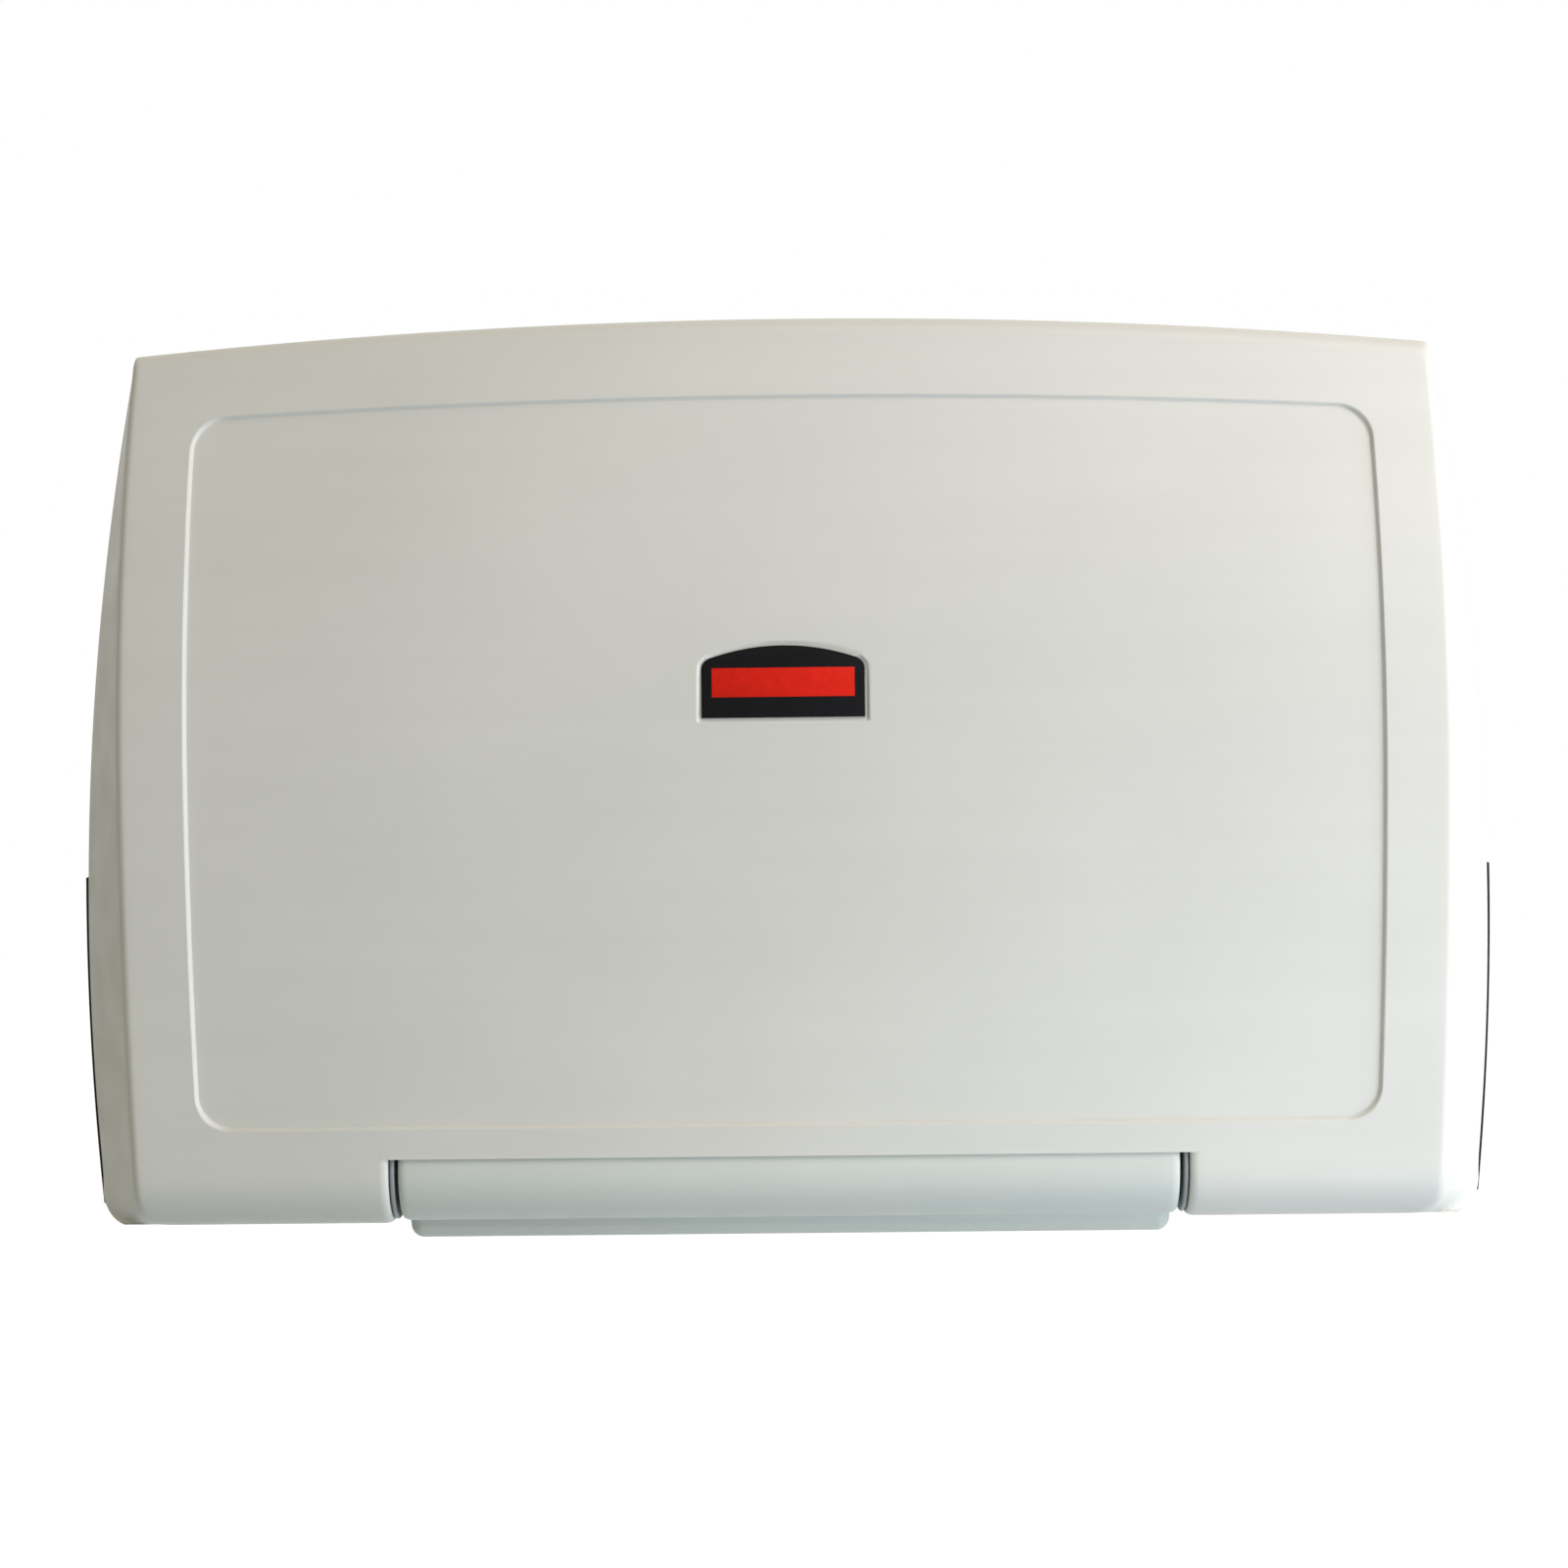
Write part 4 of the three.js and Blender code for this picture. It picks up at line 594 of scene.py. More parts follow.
@dataclass(frozen=True)
class Webbing:
    """Woven belt webbing: a herringbone of ribs on the strap's own UV map, with fuzz and sheen."""

    name: str
    color: Color
    uv_map: str = "weave"
    ribs: float = 24.0
    ribs_in_fold: float = 4.0
    lean: float = 6.0
    picks: float = 9.0

    def material(self) -> bpy.types.Material:
        """Builds the finish.

        Returns:
            The new material.
        """
        nodes = Surface(self.name)
        uv = nodes.add("UVMap", {}, uv_map=self.uv_map).outputs[0]
        along, across, _ = nodes.add("SeparateXYZ", {0: uv}).outputs
        fold = nodes.compute("PINGPONG", across, self.ribs_in_fold / self.ribs)
        slanted = nodes.compute("MULTIPLY_ADD", fold, self.lean, along)
        picks = nodes.compute("SINE", nodes.compute("MULTIPLY", slanted, self.picks * 2 * math.pi))
        ribs = nodes.compute("SINE", nodes.compute("MULTIPLY", across, self.ribs * 2 * math.pi))
        height = nodes.remap(nodes.compute("ADD", ribs, picks), source=(-2.0, 2.0), target=(0.0, 1.0))
        # The yarn is painted darker in the weave's hollows and lighter on its ridges: painted shade and
        # painted light that follow the weave's height.
        yarn_with_painted_shade = nodes.blend(height, shaded(self.color, 0.55), shaded(self.color, 1.25))
        fuzz = nodes.spread(nodes.noise(scale=900.0), 0.8, 1.2)
        fuzzy = nodes.add("HueSaturation", {"Value": fuzz, "Color": yarn_with_painted_shade}).outputs[0]
        nodes.shade(Base_Color=fuzzy, Normal=nodes.bump(height, strength=0.7, distance=0.4 * MM))
        nodes.shade(Roughness=nodes.spread(nodes.noise(scale=300.0), 0.74, 0.9), Sheen_Weight=0.25)
        return nodes.material


@dataclass(frozen=True)
class PlatePrint:
    """A printed plate under a satin lacquer, with fine dust and a slight orange peel."""

    name: str
    color: Color
    roughness: Pair = (0.34, 0.48)

    def material(self) -> bpy.types.Material:
        """Builds the finish.

        Returns:
            The new material.
        """
        nodes = Surface(self.name)
        dust = nodes.spread(nodes.noise(scale=260.0, detail=5.0))
        gloss = nodes.spread(nodes.noise(scale=120.0, detail=4.0), *self.roughness)
        peel = nodes.bump(nodes.noise(scale=500.0), strength=0.05, distance=0.05 * MM)
        nodes.shade(Base_Color=nodes.blend(dust, opaque(self.color), shaded(self.color, 1.15)))
        nodes.shade(Roughness=gloss, Normal=peel, Specular_IOR_Level=0.1)
        return nodes.material


Finish = MouldedPlastic | Rubber | Metal | Webbing | PlatePrint

SHELL_PLASTIC = MouldedPlastic("shell_plastic", (0.662, 0.662, 0.638), (0.684, 0.682, 0.658))
# The barrel is the panel's moulding; this copy of the shell plastic is painted darker and cooler, as painted
# shade and cool light on the barrel.
SHADED_BARREL_PLASTIC = MouldedPlastic("barrel_plastic_painted_shade", (0.618, 0.650, 0.628), (0.642, 0.670, 0.647))
TRAY_PLASTIC = MouldedPlastic("tray_plastic", (0.655, 0.654, 0.628), (0.678, 0.675, 0.648), grain=0.2)
GREY_PLASTIC = MouldedPlastic("grey_moulding", (0.270, 0.290, 0.300), (0.300, 0.320, 0.328))
BLACK_PLASTIC = MouldedPlastic("black_moulding", (0.012, 0.012, 0.013), (0.017, 0.017, 0.018), grain=0.25)
RED_PLASTIC = MouldedPlastic("red_plastic", (0.480, 0.024, 0.016), (0.520, 0.032, 0.020))
NYLON = MouldedPlastic("nylon_finish", (0.760, 0.740, 0.680), (0.790, 0.770, 0.710), (0.5, 0.62))
BLACK_RUBBER = Rubber("rubber", (0.007, 0.007, 0.008))
STRAP_WEBBING = Webbing("strap_webbing", (0.030, 0.032, 0.036))
BADGE_BLACK = PlatePrint("badge_black", (0.004, 0.004, 0.005))
BADGE_RED = PlatePrint("badge_red", (0.640, 0.016, 0.008))
ZINC_STEEL = Metal("zinc_plate", (0.46, 0.47, 0.48), 0.95, (0.30, 0.48), spangle=0.5)
GROUND_STEEL = Metal("ground_steel", (0.60, 0.61, 0.62), 1.0, (0.12, 0.24), (0.1, 3.0, 3.0))
PAINTED_STEEL = Metal("painted_steel", (0.014, 0.015, 0.016), 0.2, (0.28, 0.42))
SOLID_FINISHES = {
    "zinc_steel": ZINC_STEEL,
    "polished_steel": GROUND_STEEL,
    "gas_black": PAINTED_STEEL,
    "nylon": NYLON,
}


@cache
def material_of(finish: Finish) -> bpy.types.Material:
    """The material of a finish, made once."""
    return finish.material()


def dress_solids() -> None:
    """Gives the steel and nylon pieces that keep their solids a finish."""
    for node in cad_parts.values():
        finish = SOLID_FINISHES.get(node.data.materials[0].name)
        if finish is not None:
            node.data.materials.clear()
            node.data.materials.append(material_of(finish))


# Pieces


@dataclass(frozen=True)
class Tag:
    """What a piece is called, what it moves with, its material slot and the node that it stands for."""

    name: str
    body: str
    slot: str
    node: str


def add_piece(mesh: Mesh, tag: Tag, finish: Finish, sharp: float = SHARP_ANGLE) -> bpy.types.Object:
    """Turns a bmesh into a finished piece of the object.

    Args:
        mesh: the piece's geometry in the object's frame, freed here.
        tag: its name, body, material slot and node.
        finish: its surface.
        sharp: edges with a larger angle, in degrees, stay crisp.

    Returns:
        The new object.
    """
    data = bpy.data.meshes.new(tag.name)
    mesh.normal_update()
    mesh.to_mesh(data)
    mesh.free()
    data.shade_smooth()
    data.set_sharp_from_angle(angle=math.radians(sharp))
    data.materials.append(material_of(finish))
    piece = bpy.data.objects.new(tag.name, data)
    bpy.context.scene.collection.objects.link(piece)
    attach(piece, tag.body)
    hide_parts(tag.node)
    LOG.info("%s: %d faces on %s", tag.name, len(data.polygons), tag.body)
    return piece


def soften(piece: bpy.types.Object, width: float) -> None:
    """Rounds a piece's crisp edges with a live bevel."""
    bevel = piece.modifiers.new("soft_edges", "BEVEL")
    bevel.width = width
    bevel.segments = 2
    bevel.limit_method = "ANGLE"
    bevel.angle_limit = math.radians(SHARP_ANGLE)
    bevel.harden_normals = True


# The bed's curves


@dataclass(frozen=True)
class BedForm:
    """Outline and section of the bed, in metres."""

    depth: float = 0.102
    rim_y: float = -0.040
    barrel_radius: float = 0.033
    top_z: float = 0.4995
    arch_sag: float = 0.019
    arch_half: float = 0.392
    arch_start_z: float = 0.020
    rim_half_most: float = 0.420
    rim_peak_z: float = 0.150
    rim_bow: float = 1.857
    face_half_most: float = 0.387
    face_peak_z: float = 0.260
    face_bow: float = 5.3
    crown_start_z: float = 0.235
    crown_setback: float = 0.036
    top_radius: float = 0.012
    flank_fillet: float = 0.004
    corner_radius: float = 0.017
    wall: float = 0.003

    @property
    def hinge_y(self) -> float:
        """Depth of the hinge axis."""
        return self.barrel_radius - self.depth

    @property
    def heel(self) -> float:
        """Reach of the foot behind the hinge axis."""
        return self.rim_y - self.hinge_y

    @property
    def hinge(self) -> Vector:
        """Middle of the hinge axis."""
        return Vector((0.0, self.hinge_y, 0.0))

    def rim_half(self, z: float) -> float:
        """Half width of the rear rim at a height."""
        return self.rim_half_most - (z - self.rim_peak_z) ** 2 / (2 * self.rim_bow)

    def face_half(self, z: float) -> float:
        """Half width of the front face at a height."""
        return self.face_half_most - (z - self.face_peak_z) ** 2 / (2 * self.face_bow)

    def face_y(self, z: float) -> float:
        """Depth of the front face, upright below and drawn back towards the top."""
        share = max(0.0, z - self.crown_start_z) / (self.top_z - self.crown_start_z)
        return -self.depth + self.crown_setback * share * share

    def arch_drop(self, x: float, z: float) -> float:
        """How far the arched top lowers a place."""
        share = (z - self.arch_start_z) / (self.top_z - self.arch_start_z)
        return self.arch_sag * (x / self.arch_half) ** 2 * min(max(share, 0.0), 1.0)

    def corner_drop(self, z: float) -> float:
        """How far the round lower corners draw in at a height."""
        return quarter(z + self.barrel_radius, self.corner_radius)


FORM = BedForm()


@dataclass(frozen=True)
class RoundedField:
    """A bowed, arched area with round corners, measured by how far inside it a place lies."""

    half: Callable[[float], float]
    bottom: float
    top: float
    sag: float
    corner: float

    def inside(self, x: float, z: float) -> float:
        """Distance of a place inside the area's edge, negative outside."""
        across = self.half(z) - abs(x)
        up = min(z - self.bottom, self.top - self.sag * (x / FORM.arch_half) ** 2 - z)
        if across < self.corner and up < self.corner:
            return self.corner - math.hypot(self.corner - across, self.corner - up)
        return min(across, up)

    def step(self, x: float, z: float, run: float) -> float:
        """Smooth step from 0 outside the area to 1 inside, with its middle on the edge."""
        return smooth(self.inside(x, z) + run / 2, run)


class Zone(Enum):
    """Stretches of a section, from the middle of the face to the rim."""

    CENTRE = 0
    FACE = 1
    EDGE = 2
    FILLET = 3
    FLANK = 4


FACE_ZONES = (Zone.CENTRE, Zone.FACE, Zone.EDGE)


@dataclass(frozen=True)
class Column:
    """A line of vertices up a sheet: a zone and a place in it.

    The place is a distance from the middle in the centre, a distance from the side in the edge, and a
    share of the way across any other zone.
    """

    zone: Zone
    place: float

    def x(self, start: float, half: float, band: float) -> float:
        """Distance from the middle of a section.

        Args:
            start: where the face's stretch starts.
            half: half width of the section.
            band: width of the edge's stretch.

        Returns:
            The distance.
        """
        if self.zone is Zone.FACE:
            return lerp(start, half - band, self.place)
        if self.zone is Zone.EDGE:
            return half - self.place
        return self.place


def shares_of(zone: Zone, steps: int) -> list[Column]:
    """Evenly spaced lines of vertices across a zone, without its start."""
    return [Column(zone, share) for share in spaced(0.0, (1.0, steps))[1:]]


def face_columns(centre: Sequence[float], face_steps: int, edge: Sequence[float]) -> list[Column]:
    """Lines of vertices across a face.

    Args:
        centre: distances from the middle.
        face_steps: steps between the centre and the edge.
        edge: distances from the side, the first of which ends the face's stretch.

    Returns:
        The lines from the middle to the side.
    """
    columns = [Column(Zone.CENTRE, x) for x in centre]
    columns += shares_of(Zone.FACE, face_steps)
    return columns + [Column(Zone.EDGE, inset) for inset in edge[1:]]


# Badge


@dataclass
class Badge:
    """A plain arch-topped plate with a straight red band, in a shallow seat on the face."""

    width: float = 0.095
    side: float = 0.033
    arch: float = 0.009
    corner: float = 0.005
    middle_z: float = FORM.top_z - 0.220
    thickness: float = 0.001
    gap: float = 0.0009
    band_margin: float = 0.006
    band_foot: float = 0.012
    band_height: float = 0.017
    band_rise: float = 0.00025
    rounded_share: float = 0.4

    def top(self, x: float) -> float:
        """Height of the arched top edge above the plate's middle."""
        share = min(abs(x) / (self.width / 2), 1.0)
        return self.side / 2 + self.arch * (1 - share * share)

    def inside(self, x: float, z: float) -> float:
        """Distance of a place inside the seat's edge, negative outside.

        Args:
            x: place across the face.
            z: height on the face.

        Returns:
            The distance.
        """
        up = z - self.middle_z
        across, below = self.width / 2 - abs(x), self.top(x) - up
        edge = min(across, below)
        if across < self.corner and below < self.corner:
            edge = self.corner - math.hypot(self.corner - across, self.corner - below)
        return min(edge, up + self.side / 2) + self.gap

    def outline(self) -> list[Pair]:
        """Points round the plate about its middle, with the upper corners rounded.

        Returns:
            The points (x, z) in order.
        """
        half, head = self.width / 2, self.side / 2
        tip = Vector((half, head))
        before = tip - Vector((0, self.corner))
        after = Vector((half - self.corner, self.top(half - self.corner)))
        corner = [curve(before, tip, after, share) for share in spaced(0.0, (1.0, 6))]
        right = [(half, -head), *((point.x, point.y) for point in corner)]
        crown = [(x, self.top(x)) for x in spaced(after.x, (-after.x, 24))[1:-1]]
        return [*right, *crown, *((-x, z) for x, z in reversed(right))]

    def on_face(self, mesh: Mesh) -> None:
        """Leans a plate that was made upright at the origin on the face at the badge's place."""
        rise = FORM.face_y(self.middle_z + self.side) - FORM.face_y(self.middle_z)
        lean = Matrix.Rotation(-math.atan2(rise, self.side), 4, "X")
        seat = SHELL.sunk_depth + SHELL.badge_seat
        place = Matrix.Translation((0, FORM.face_y(self.middle_z) + seat, self.middle_z))
        bmesh.ops.transform(mesh, matrix=place @ lean, verts=mesh.verts[:])

    def plate(self, outline: Sequence[Pair], back: float, front: float) -> Mesh:
        """A flat plate, rounded at its front edge, leaning on the face.

        Args:
            outline: points (x, z) round the plate.
            back: depth of its back.
            front: depth of its front.

        Returns:
            A new bmesh.
        """
        mesh = bmesh.new()
        verts = [mesh.verts.new((x, front, z)) for x, z in outline]
        face = bmesh.ops.contextual_create(mesh, geom=verts)["faces"][0]
        if face.normal.y > 0:
            face.normal_flip()
        sides = bmesh.ops.extrude_face_region(mesh, geom=[face], use_keep_orig=True)["geom"]
        bmesh.ops.translate(mesh, vec=(0, back - front, 0), verts=verts_of(sides))
        even_normals(mesh)
        rim = [edge for edge in mesh.edges if all(abs(vert.co.y - front) < TOUCH for vert in edge.verts)]
        round_edges(mesh, rim, (back - front) * self.rounded_share, 2)
        self.on_face(mesh)
        return mesh

    def build(self) -> None:
        """Adds the plate and its band."""
        plate = self.plate(self.outline(), 0.0, -self.thickness)
        add_piece(plate, Tag("badge", "bed", "badge", "badge_plate"), BADGE_BLACK, CRISP_ANGLE)
        wide = self.width / 2 - self.band_margin
        low = -self.side / 2 + self.band_foot
        high = low + self.band_height
        outline = [(-wide, low), (wide, low), (wide, high), (-wide, high)]
        band = self.plate(outline, -self.thickness, -self.thickness - self.band_rise)
        add_piece(band, Tag("badge_band", "bed", "button_red", "badge_plate"), BADGE_RED, CRISP_ANGLE)


BADGE = Badge()


# Bed outer shell


@dataclass(frozen=True)
class Row:
    """A line of vertices across the bed.

    A foot row has an angle about the hinge, from straight down to level. The rows above have a
    height and a front, and those on the flat top a share of the way back to the rim.
    """

    z: float
    front: float
    angle: float | None = None
    top_share: float = 0.0


@dataclass
class BedShell:
    """The bed's moulded outer shell, with its sunk panel, badge seat and hinge cut-out."""

    notch_half: float = 0.233
    notch_z: float = 0.00859
    notch_run: float = 0.0054
    notch_drop: float = 0.0027
    cove_radius: float = 0.0341
    rod_hole: float = 0.010
    sunk_depth: float = 0.0025
    sunk_margin: float = 0.039
    sunk_bottom: float = 0.027
    sunk_top: float = FORM.top_z - 0.048
    sunk_sag: float = 0.0125
    sunk_corner: float = 0.019
    sunk_run: float = 0.0021
    badge_run: float = 0.0020
    badge_seat: float = 0.0015
    corner_taper: float = 0.042
    # Where lines of vertices lie close together
    even_half: float = 0.225
    edge_band: float = 0.066
    step_band: float = 0.003
    corner_columns: float = 0.021
    corner_rows: float = 0.020
    seat_columns: Pair = (0.002, 0.0035)
    seat_rows: tuple[tuple[float, int], ...] = (
        (-0.023, 18), (-0.020, 2), (-0.014, 12), (0.015, 4), (0.030, 24)
    )
    end_columns: tuple[float, ...] = (
        0.0001, 0.0004, 0.0009, 0.0016, 0.0025, 0.0036, 0.0045, 0.0054, 0.012
    )

    @cached_property
    def sunk(self) -> RoundedField:
        """The sunk panel's area."""
        return RoundedField(
            self.sunk_half, self.sunk_bottom, self.sunk_top, self.sunk_sag, self.sunk_corner
        )

    def sunk_half(self, z: float) -> float:
        """Half width of the sunk panel at a height."""
        return FORM.face_half(z) - self.sunk_margin

    def columns(self) -> list[Column]:
        """Lines of vertices up the shell, close together where the surface steps.

        Returns:
            The lines from the middle to the rim.
        """
        seat = BADGE.width / 2
        within, beyond = self.seat_columns
        centre = spaced(
            0.0, (seat - within, 8), (seat + beyond, 11), (self.even_half, 14), (self.notch_half, 1)
        )
        centre += [self.notch_half + step for step in self.end_columns]
        margin, step = self.sunk_margin, self.step_band
        edge = spaced(
            self.edge_band, (margin + self.corner_columns, 4), (margin + step, 18), (margin - step, 12),
            (FORM.flank_fillet, 8),
        )
        return face_columns(centre, 8, edge) + shares_of(Zone.FILLET, 7) + shares_of(Zone.FLANK, 9)

    def rows(self) -> list[Row]:
        """Lines of vertices across the shell, close together where the surface steps.

        Returns:
            The lines round the foot, up the face and back over the top.
        """
        low, top, step = self.sunk_bottom, self.sunk_top, self.step_band
        edge_z = FORM.top_z - FORM.top_radius
        heights = spaced(
            0.0, (self.notch_z - 0.1 * MM, 3), (self.notch_z, 1), (low - step, 5), (low + step, 12),
            (low + self.corner_rows, 17), *((BADGE.middle_z + rise, count) for rise, count in self.seat_rows),
            (top - self.corner_rows, 14), (top - step, 17), (top + 2 * step, 18), (edge_z, 8),
        )
        rows = [self.foot_row(angle) for angle in quarter_turn(18)]
        rows += [Row(z, FORM.face_y(z)) for z in heights[1:]]
        for turn in quarter_turn(8)[1:]:
            setback = FORM.top_radius * (1 - math.cos(turn))
            rows.append(Row(edge_z + FORM.top_radius * math.sin(turn), FORM.face_y(edge_z) + setback))
        crest = rows[-1]
        return rows + [Row(crest.z, crest.front, top_share=share) for share in spaced(0.0, (1.0, 5))[1:]]

    def foot_row(self, angle: float) -> Row:
        """A row on the round foot."""
        radius = FORM.barrel_radius
        return Row(-radius * math.cos(angle), FORM.hinge_y - radius * math.sin(angle), angle)

    def section(self, column: Column, row: Row, back: float) -> Pair:
        """Place on the level section at a row.

        Args:
            column: the line up the shell.
            row: the line across it.
            back: depth of the section's rear end.

        Returns:
            The place (x, y).
        """
        drop = FORM.corner_drop(row.z)
        rim = Vector((FORM.rim_half(row.z) - drop, back))
        corner = Vector((FORM.face_half(row.z) - drop, row.front))
        if column.zone in FACE_ZONES:
            start = self.notch_half + self.end_columns[-1]
            return column.x(start, corner.x, self.edge_band), row.front
        behind = corner + (rim - corner).normalized() * FORM.flank_fillet
        if column.zone is Zone.FILLET:
            before = corner - Vector((FORM.flank_fillet, 0.0))
            place = curve(before, corner, behind, column.place)
        else:
            place = behind.lerp(rim, column.place)
        return place.x, place.y

    def end_round(self, x: float, row: Row) -> float:
        """Set-back of the foot's rounded end beside the cut-out."""
        if row.z >= self.notch_z:
            return 0.0
        return quarter(x - self.notch_half, self.notch_run) * self.notch_drop / self.notch_run

    def front_place(self, column: Column, row: Row) -> Place:
        """Place of a vertex on the front of the shell.

        Args:
            column: the line up the shell.
            row: the line across it.

        Returns:
            The place.
        """
        if row.angle is not None:
            return self.foot_place(column, row, front=True)
        x, y = self.section(column, row, FORM.rim_y)
        z = row.z - FORM.arch_drop(x, row.z)
        y = lerp(y, FORM.rim_y, row.top_share) + self.end_round(x, row)
        if column.zone in FACE_ZONES:
            y += self.relief(x, z)
        return x, y, z

    def foot_place(self, column: Column, row: Row, front: bool = False) -> Place:
        """Place of a vertex on the round foot.

        Args:
            column: the line up the shell.
            row: the line across it.
            front: tells the front of the foot from its back.

        Returns:
            The place.
        """
        back = FORM.hinge_y + FORM.heel * math.sin(row.angle)
        x, y = self.section(column, row, back)
        share = 1.0 - self.end_round(x, row) / FORM.barrel_radius
        depth = y if front else back
        return x, FORM.hinge_y + (depth - FORM.hinge_y) * share, row.z * share

    def relief(self, x: float, z: float) -> float:
        """How far the sunk panel and the badge seat lie behind the face."""
        seat = smooth(BADGE.inside(x, z) + self.badge_run, self.badge_run)
        return self.sunk_depth * self.sunk.step(x, z, self.sunk_run) + self.badge_seat * seat

    def in_notch(self, place: Vector) -> bool:
        """Tells whether a place of the right half lies in the cut-out."""
        return place.x < self.notch_half and place.z < self.notch_z

    def at_end(self, place: Vector) -> bool:
        """Tells whether a place lies on the cut-out's end."""
        return abs(place.x - self.notch_half) < TOUCH and place.z < self.notch_z + TOUCH

    def end_wall(self, mesh: Mesh) -> None:
        """Closes the foot's end beside the cut-out with a wall that has the rod's hole."""
        loop = [edge for edge in open_edges(mesh) if all(self.at_end(vert.co) for vert in edge.verts)]
        ends = {vert for edge in loop for vert in edge.verts}
        upper = max(ends, key=lambda vert: vert.co.z)
        rear = max(ends, key=lambda vert: (round(vert.co.z, 6) >= 0.0, vert.co.y))
        start = math.atan2(self.notch_z, -FORM.barrel_radius)
        finish = math.acos(FORM.heel / self.cove_radius)
        before = set(mesh.edges)
        bmesh.ops.spin(mesh, geom=[upper], cent=FORM.hinge, axis=ACROSS, angle=finish - start, steps=16)
        arc = [edge for edge in mesh.edges if edge not in before]
        tip = max((vert for edge in arc for vert in edge.verts), key=lambda vert: vert.co.y)
        loop += arc + [mesh.edges.new((tip, rear))]
        ring_hole(mesh, loop, FORM.hinge + ACROSS * self.notch_half, self.rod_hole, 28)

    def wall_share(self, place: Vector) -> float:
        """Share of the wall's thickness, less where the foot's outer corners run out to an edge."""
        tip = FORM.rim_half(place.z) - FORM.corner_drop(place.z) - abs(place.x)
        return max(smooth(tip, self.corner_taper), smooth(place.z, self.notch_z))

    def cove_place(self, x: float, angle: float) -> Place:
        """Place on the cove at an angle about the hinge."""
        return x, FORM.hinge_y + self.cove_radius * math.cos(angle), self.cove_radius * math.sin(angle)

    def cove(self) -> Mesh:
        """The round wall inside the bed, over the centre barrel.

        Returns:
            A new bmesh.
        """
        in_end_wall = 0.8
        half = self.notch_half + FORM.wall * in_end_wall
        start = math.acos(FORM.heel / self.cove_radius)
        skin = FORM.barrel_radius - FORM.wall
        finish = math.pi - math.acos(skin / self.cove_radius)
        mesh = mapped_grid(spaced(-half, (half, 12)), spaced(start, (finish, 22)), self.cove_place)
        face_outwards(mesh, UP)
        bmesh.ops.reverse_faces(mesh, faces=mesh.faces[:])
        thicken(mesh, FORM.wall)
        return mesh

    def build(self) -> None:
        """Models the shell and adds it to the scene."""
        columns, rows = self.columns(), self.rows()
        foot = [row for row in rows if row.angle is not None]
        mesh = mapped_grid(columns, rows, self.front_place)
        merge_into(mesh, mapped_grid(columns, foot, self.foot_place))
        cut_out(mesh, self.in_notch)
        weld(mesh)
        self.end_wall(mesh)
        mirror_x(mesh)
        face_outwards(mesh, TO_ROOM)
        thicken(mesh, FORM.wall, self.wall_share)
        merge_into(mesh, self.cove())
        for vert in mesh.verts:
            vert.co.y = min(vert.co.y, FORM.rim_y)
        add_piece(mesh, Tag("bed_shell", "bed", "shell", "bed_outer_shell"), SHELL_PLASTIC)


SHELL = BedShell()


# Changing tray


@dataclass
class ChangingTray:
    """The dished tray that the bed's rim holds."""

    side_gap: float = 0.0058
    top_z: float = FORM.top_z - 0.0042
    foot_z: float = 0.0042
    notch_half: float = 0.2368
    notch_z: float = 0.0278
    floor_y: float = -0.0735
    edge: float = 0.026
    flat_edge: float = 0.004
    slope: float = 0.040
    edge_bottom: float = 0.042
    foot_slope: float = 0.044
    edge_top: float = FORM.top_z - 0.035
    head_slope: float = 0.090
    lip_round: float = 0.0016

    def half(self, z: float) -> float:
        """Half width of the tray at a height."""
        return FORM.rim_half(z) - self.side_gap - FORM.corner_drop(z)

    def share(self, x: float, z: float) -> float:
        """Share of the full depth at a place: flat rim, sloping sides, flat floor."""
        side = smooth(self.half(z) - self.edge - abs(x), self.slope)
        foot = smooth(z - self.edge_bottom, self.foot_slope)
        return side * foot * smooth(self.edge_top - z, self.head_slope)

    def place(self, column: Column, z: float) -> Place:
        """Place of a vertex on the tray's upper side.

        Args:
            column: the line up the tray.
            z: height of the row before the arch lowers it.

        Returns:
            The place.
        """
        half = self.half(z)
        x = column.x(self.notch_half, half, self.edge + self.slope)
        y = lerp(FORM.rim_y, self.floor_y, self.share(x, z))
        inset = min(half - x, z - self.foot_z, self.top_z - z)
        return x, y - quarter(inset, self.lip_round), z - FORM.arch_drop(x, z)

    def in_notch(self, place: Vector) -> bool:
        """Tells whether a place of the right half lies in the cut-out over the barrel."""
        return place.x < self.notch_half and place.z < self.notch_z - 0.2 * MM

    def build(self) -> None:
        """Models the tray and adds it to the scene."""
        lip = self.lip_round
        edge = spaced(self.edge + self.slope, (self.edge, 14), (self.flat_edge, 6), (lip, 2), (0.0, 4))
        columns = face_columns(spaced(0.0, (self.notch_half, 12)), 8, edge)
        rows = spaced(
            self.foot_z, (self.foot_z + lip, 4), (self.notch_z, 4), (self.edge_bottom, 3),
            (self.edge_bottom + self.foot_slope, 16), (self.edge_top - self.head_slope, 20),
            (self.edge_top, 22), (self.top_z - lip, 6), (self.top_z, 4),
        )
        mesh = mapped_grid(columns, rows, self.place)
        cut_out(mesh, self.in_notch)
        mirror_x(mesh)
        face_outwards(mesh, TO_WALL)
        thicken(mesh, FORM.wall)
        add_piece(mesh, Tag("changing_tray", "bed", "shell", "bed_tray"), TRAY_PLASTIC)


# Liner cover


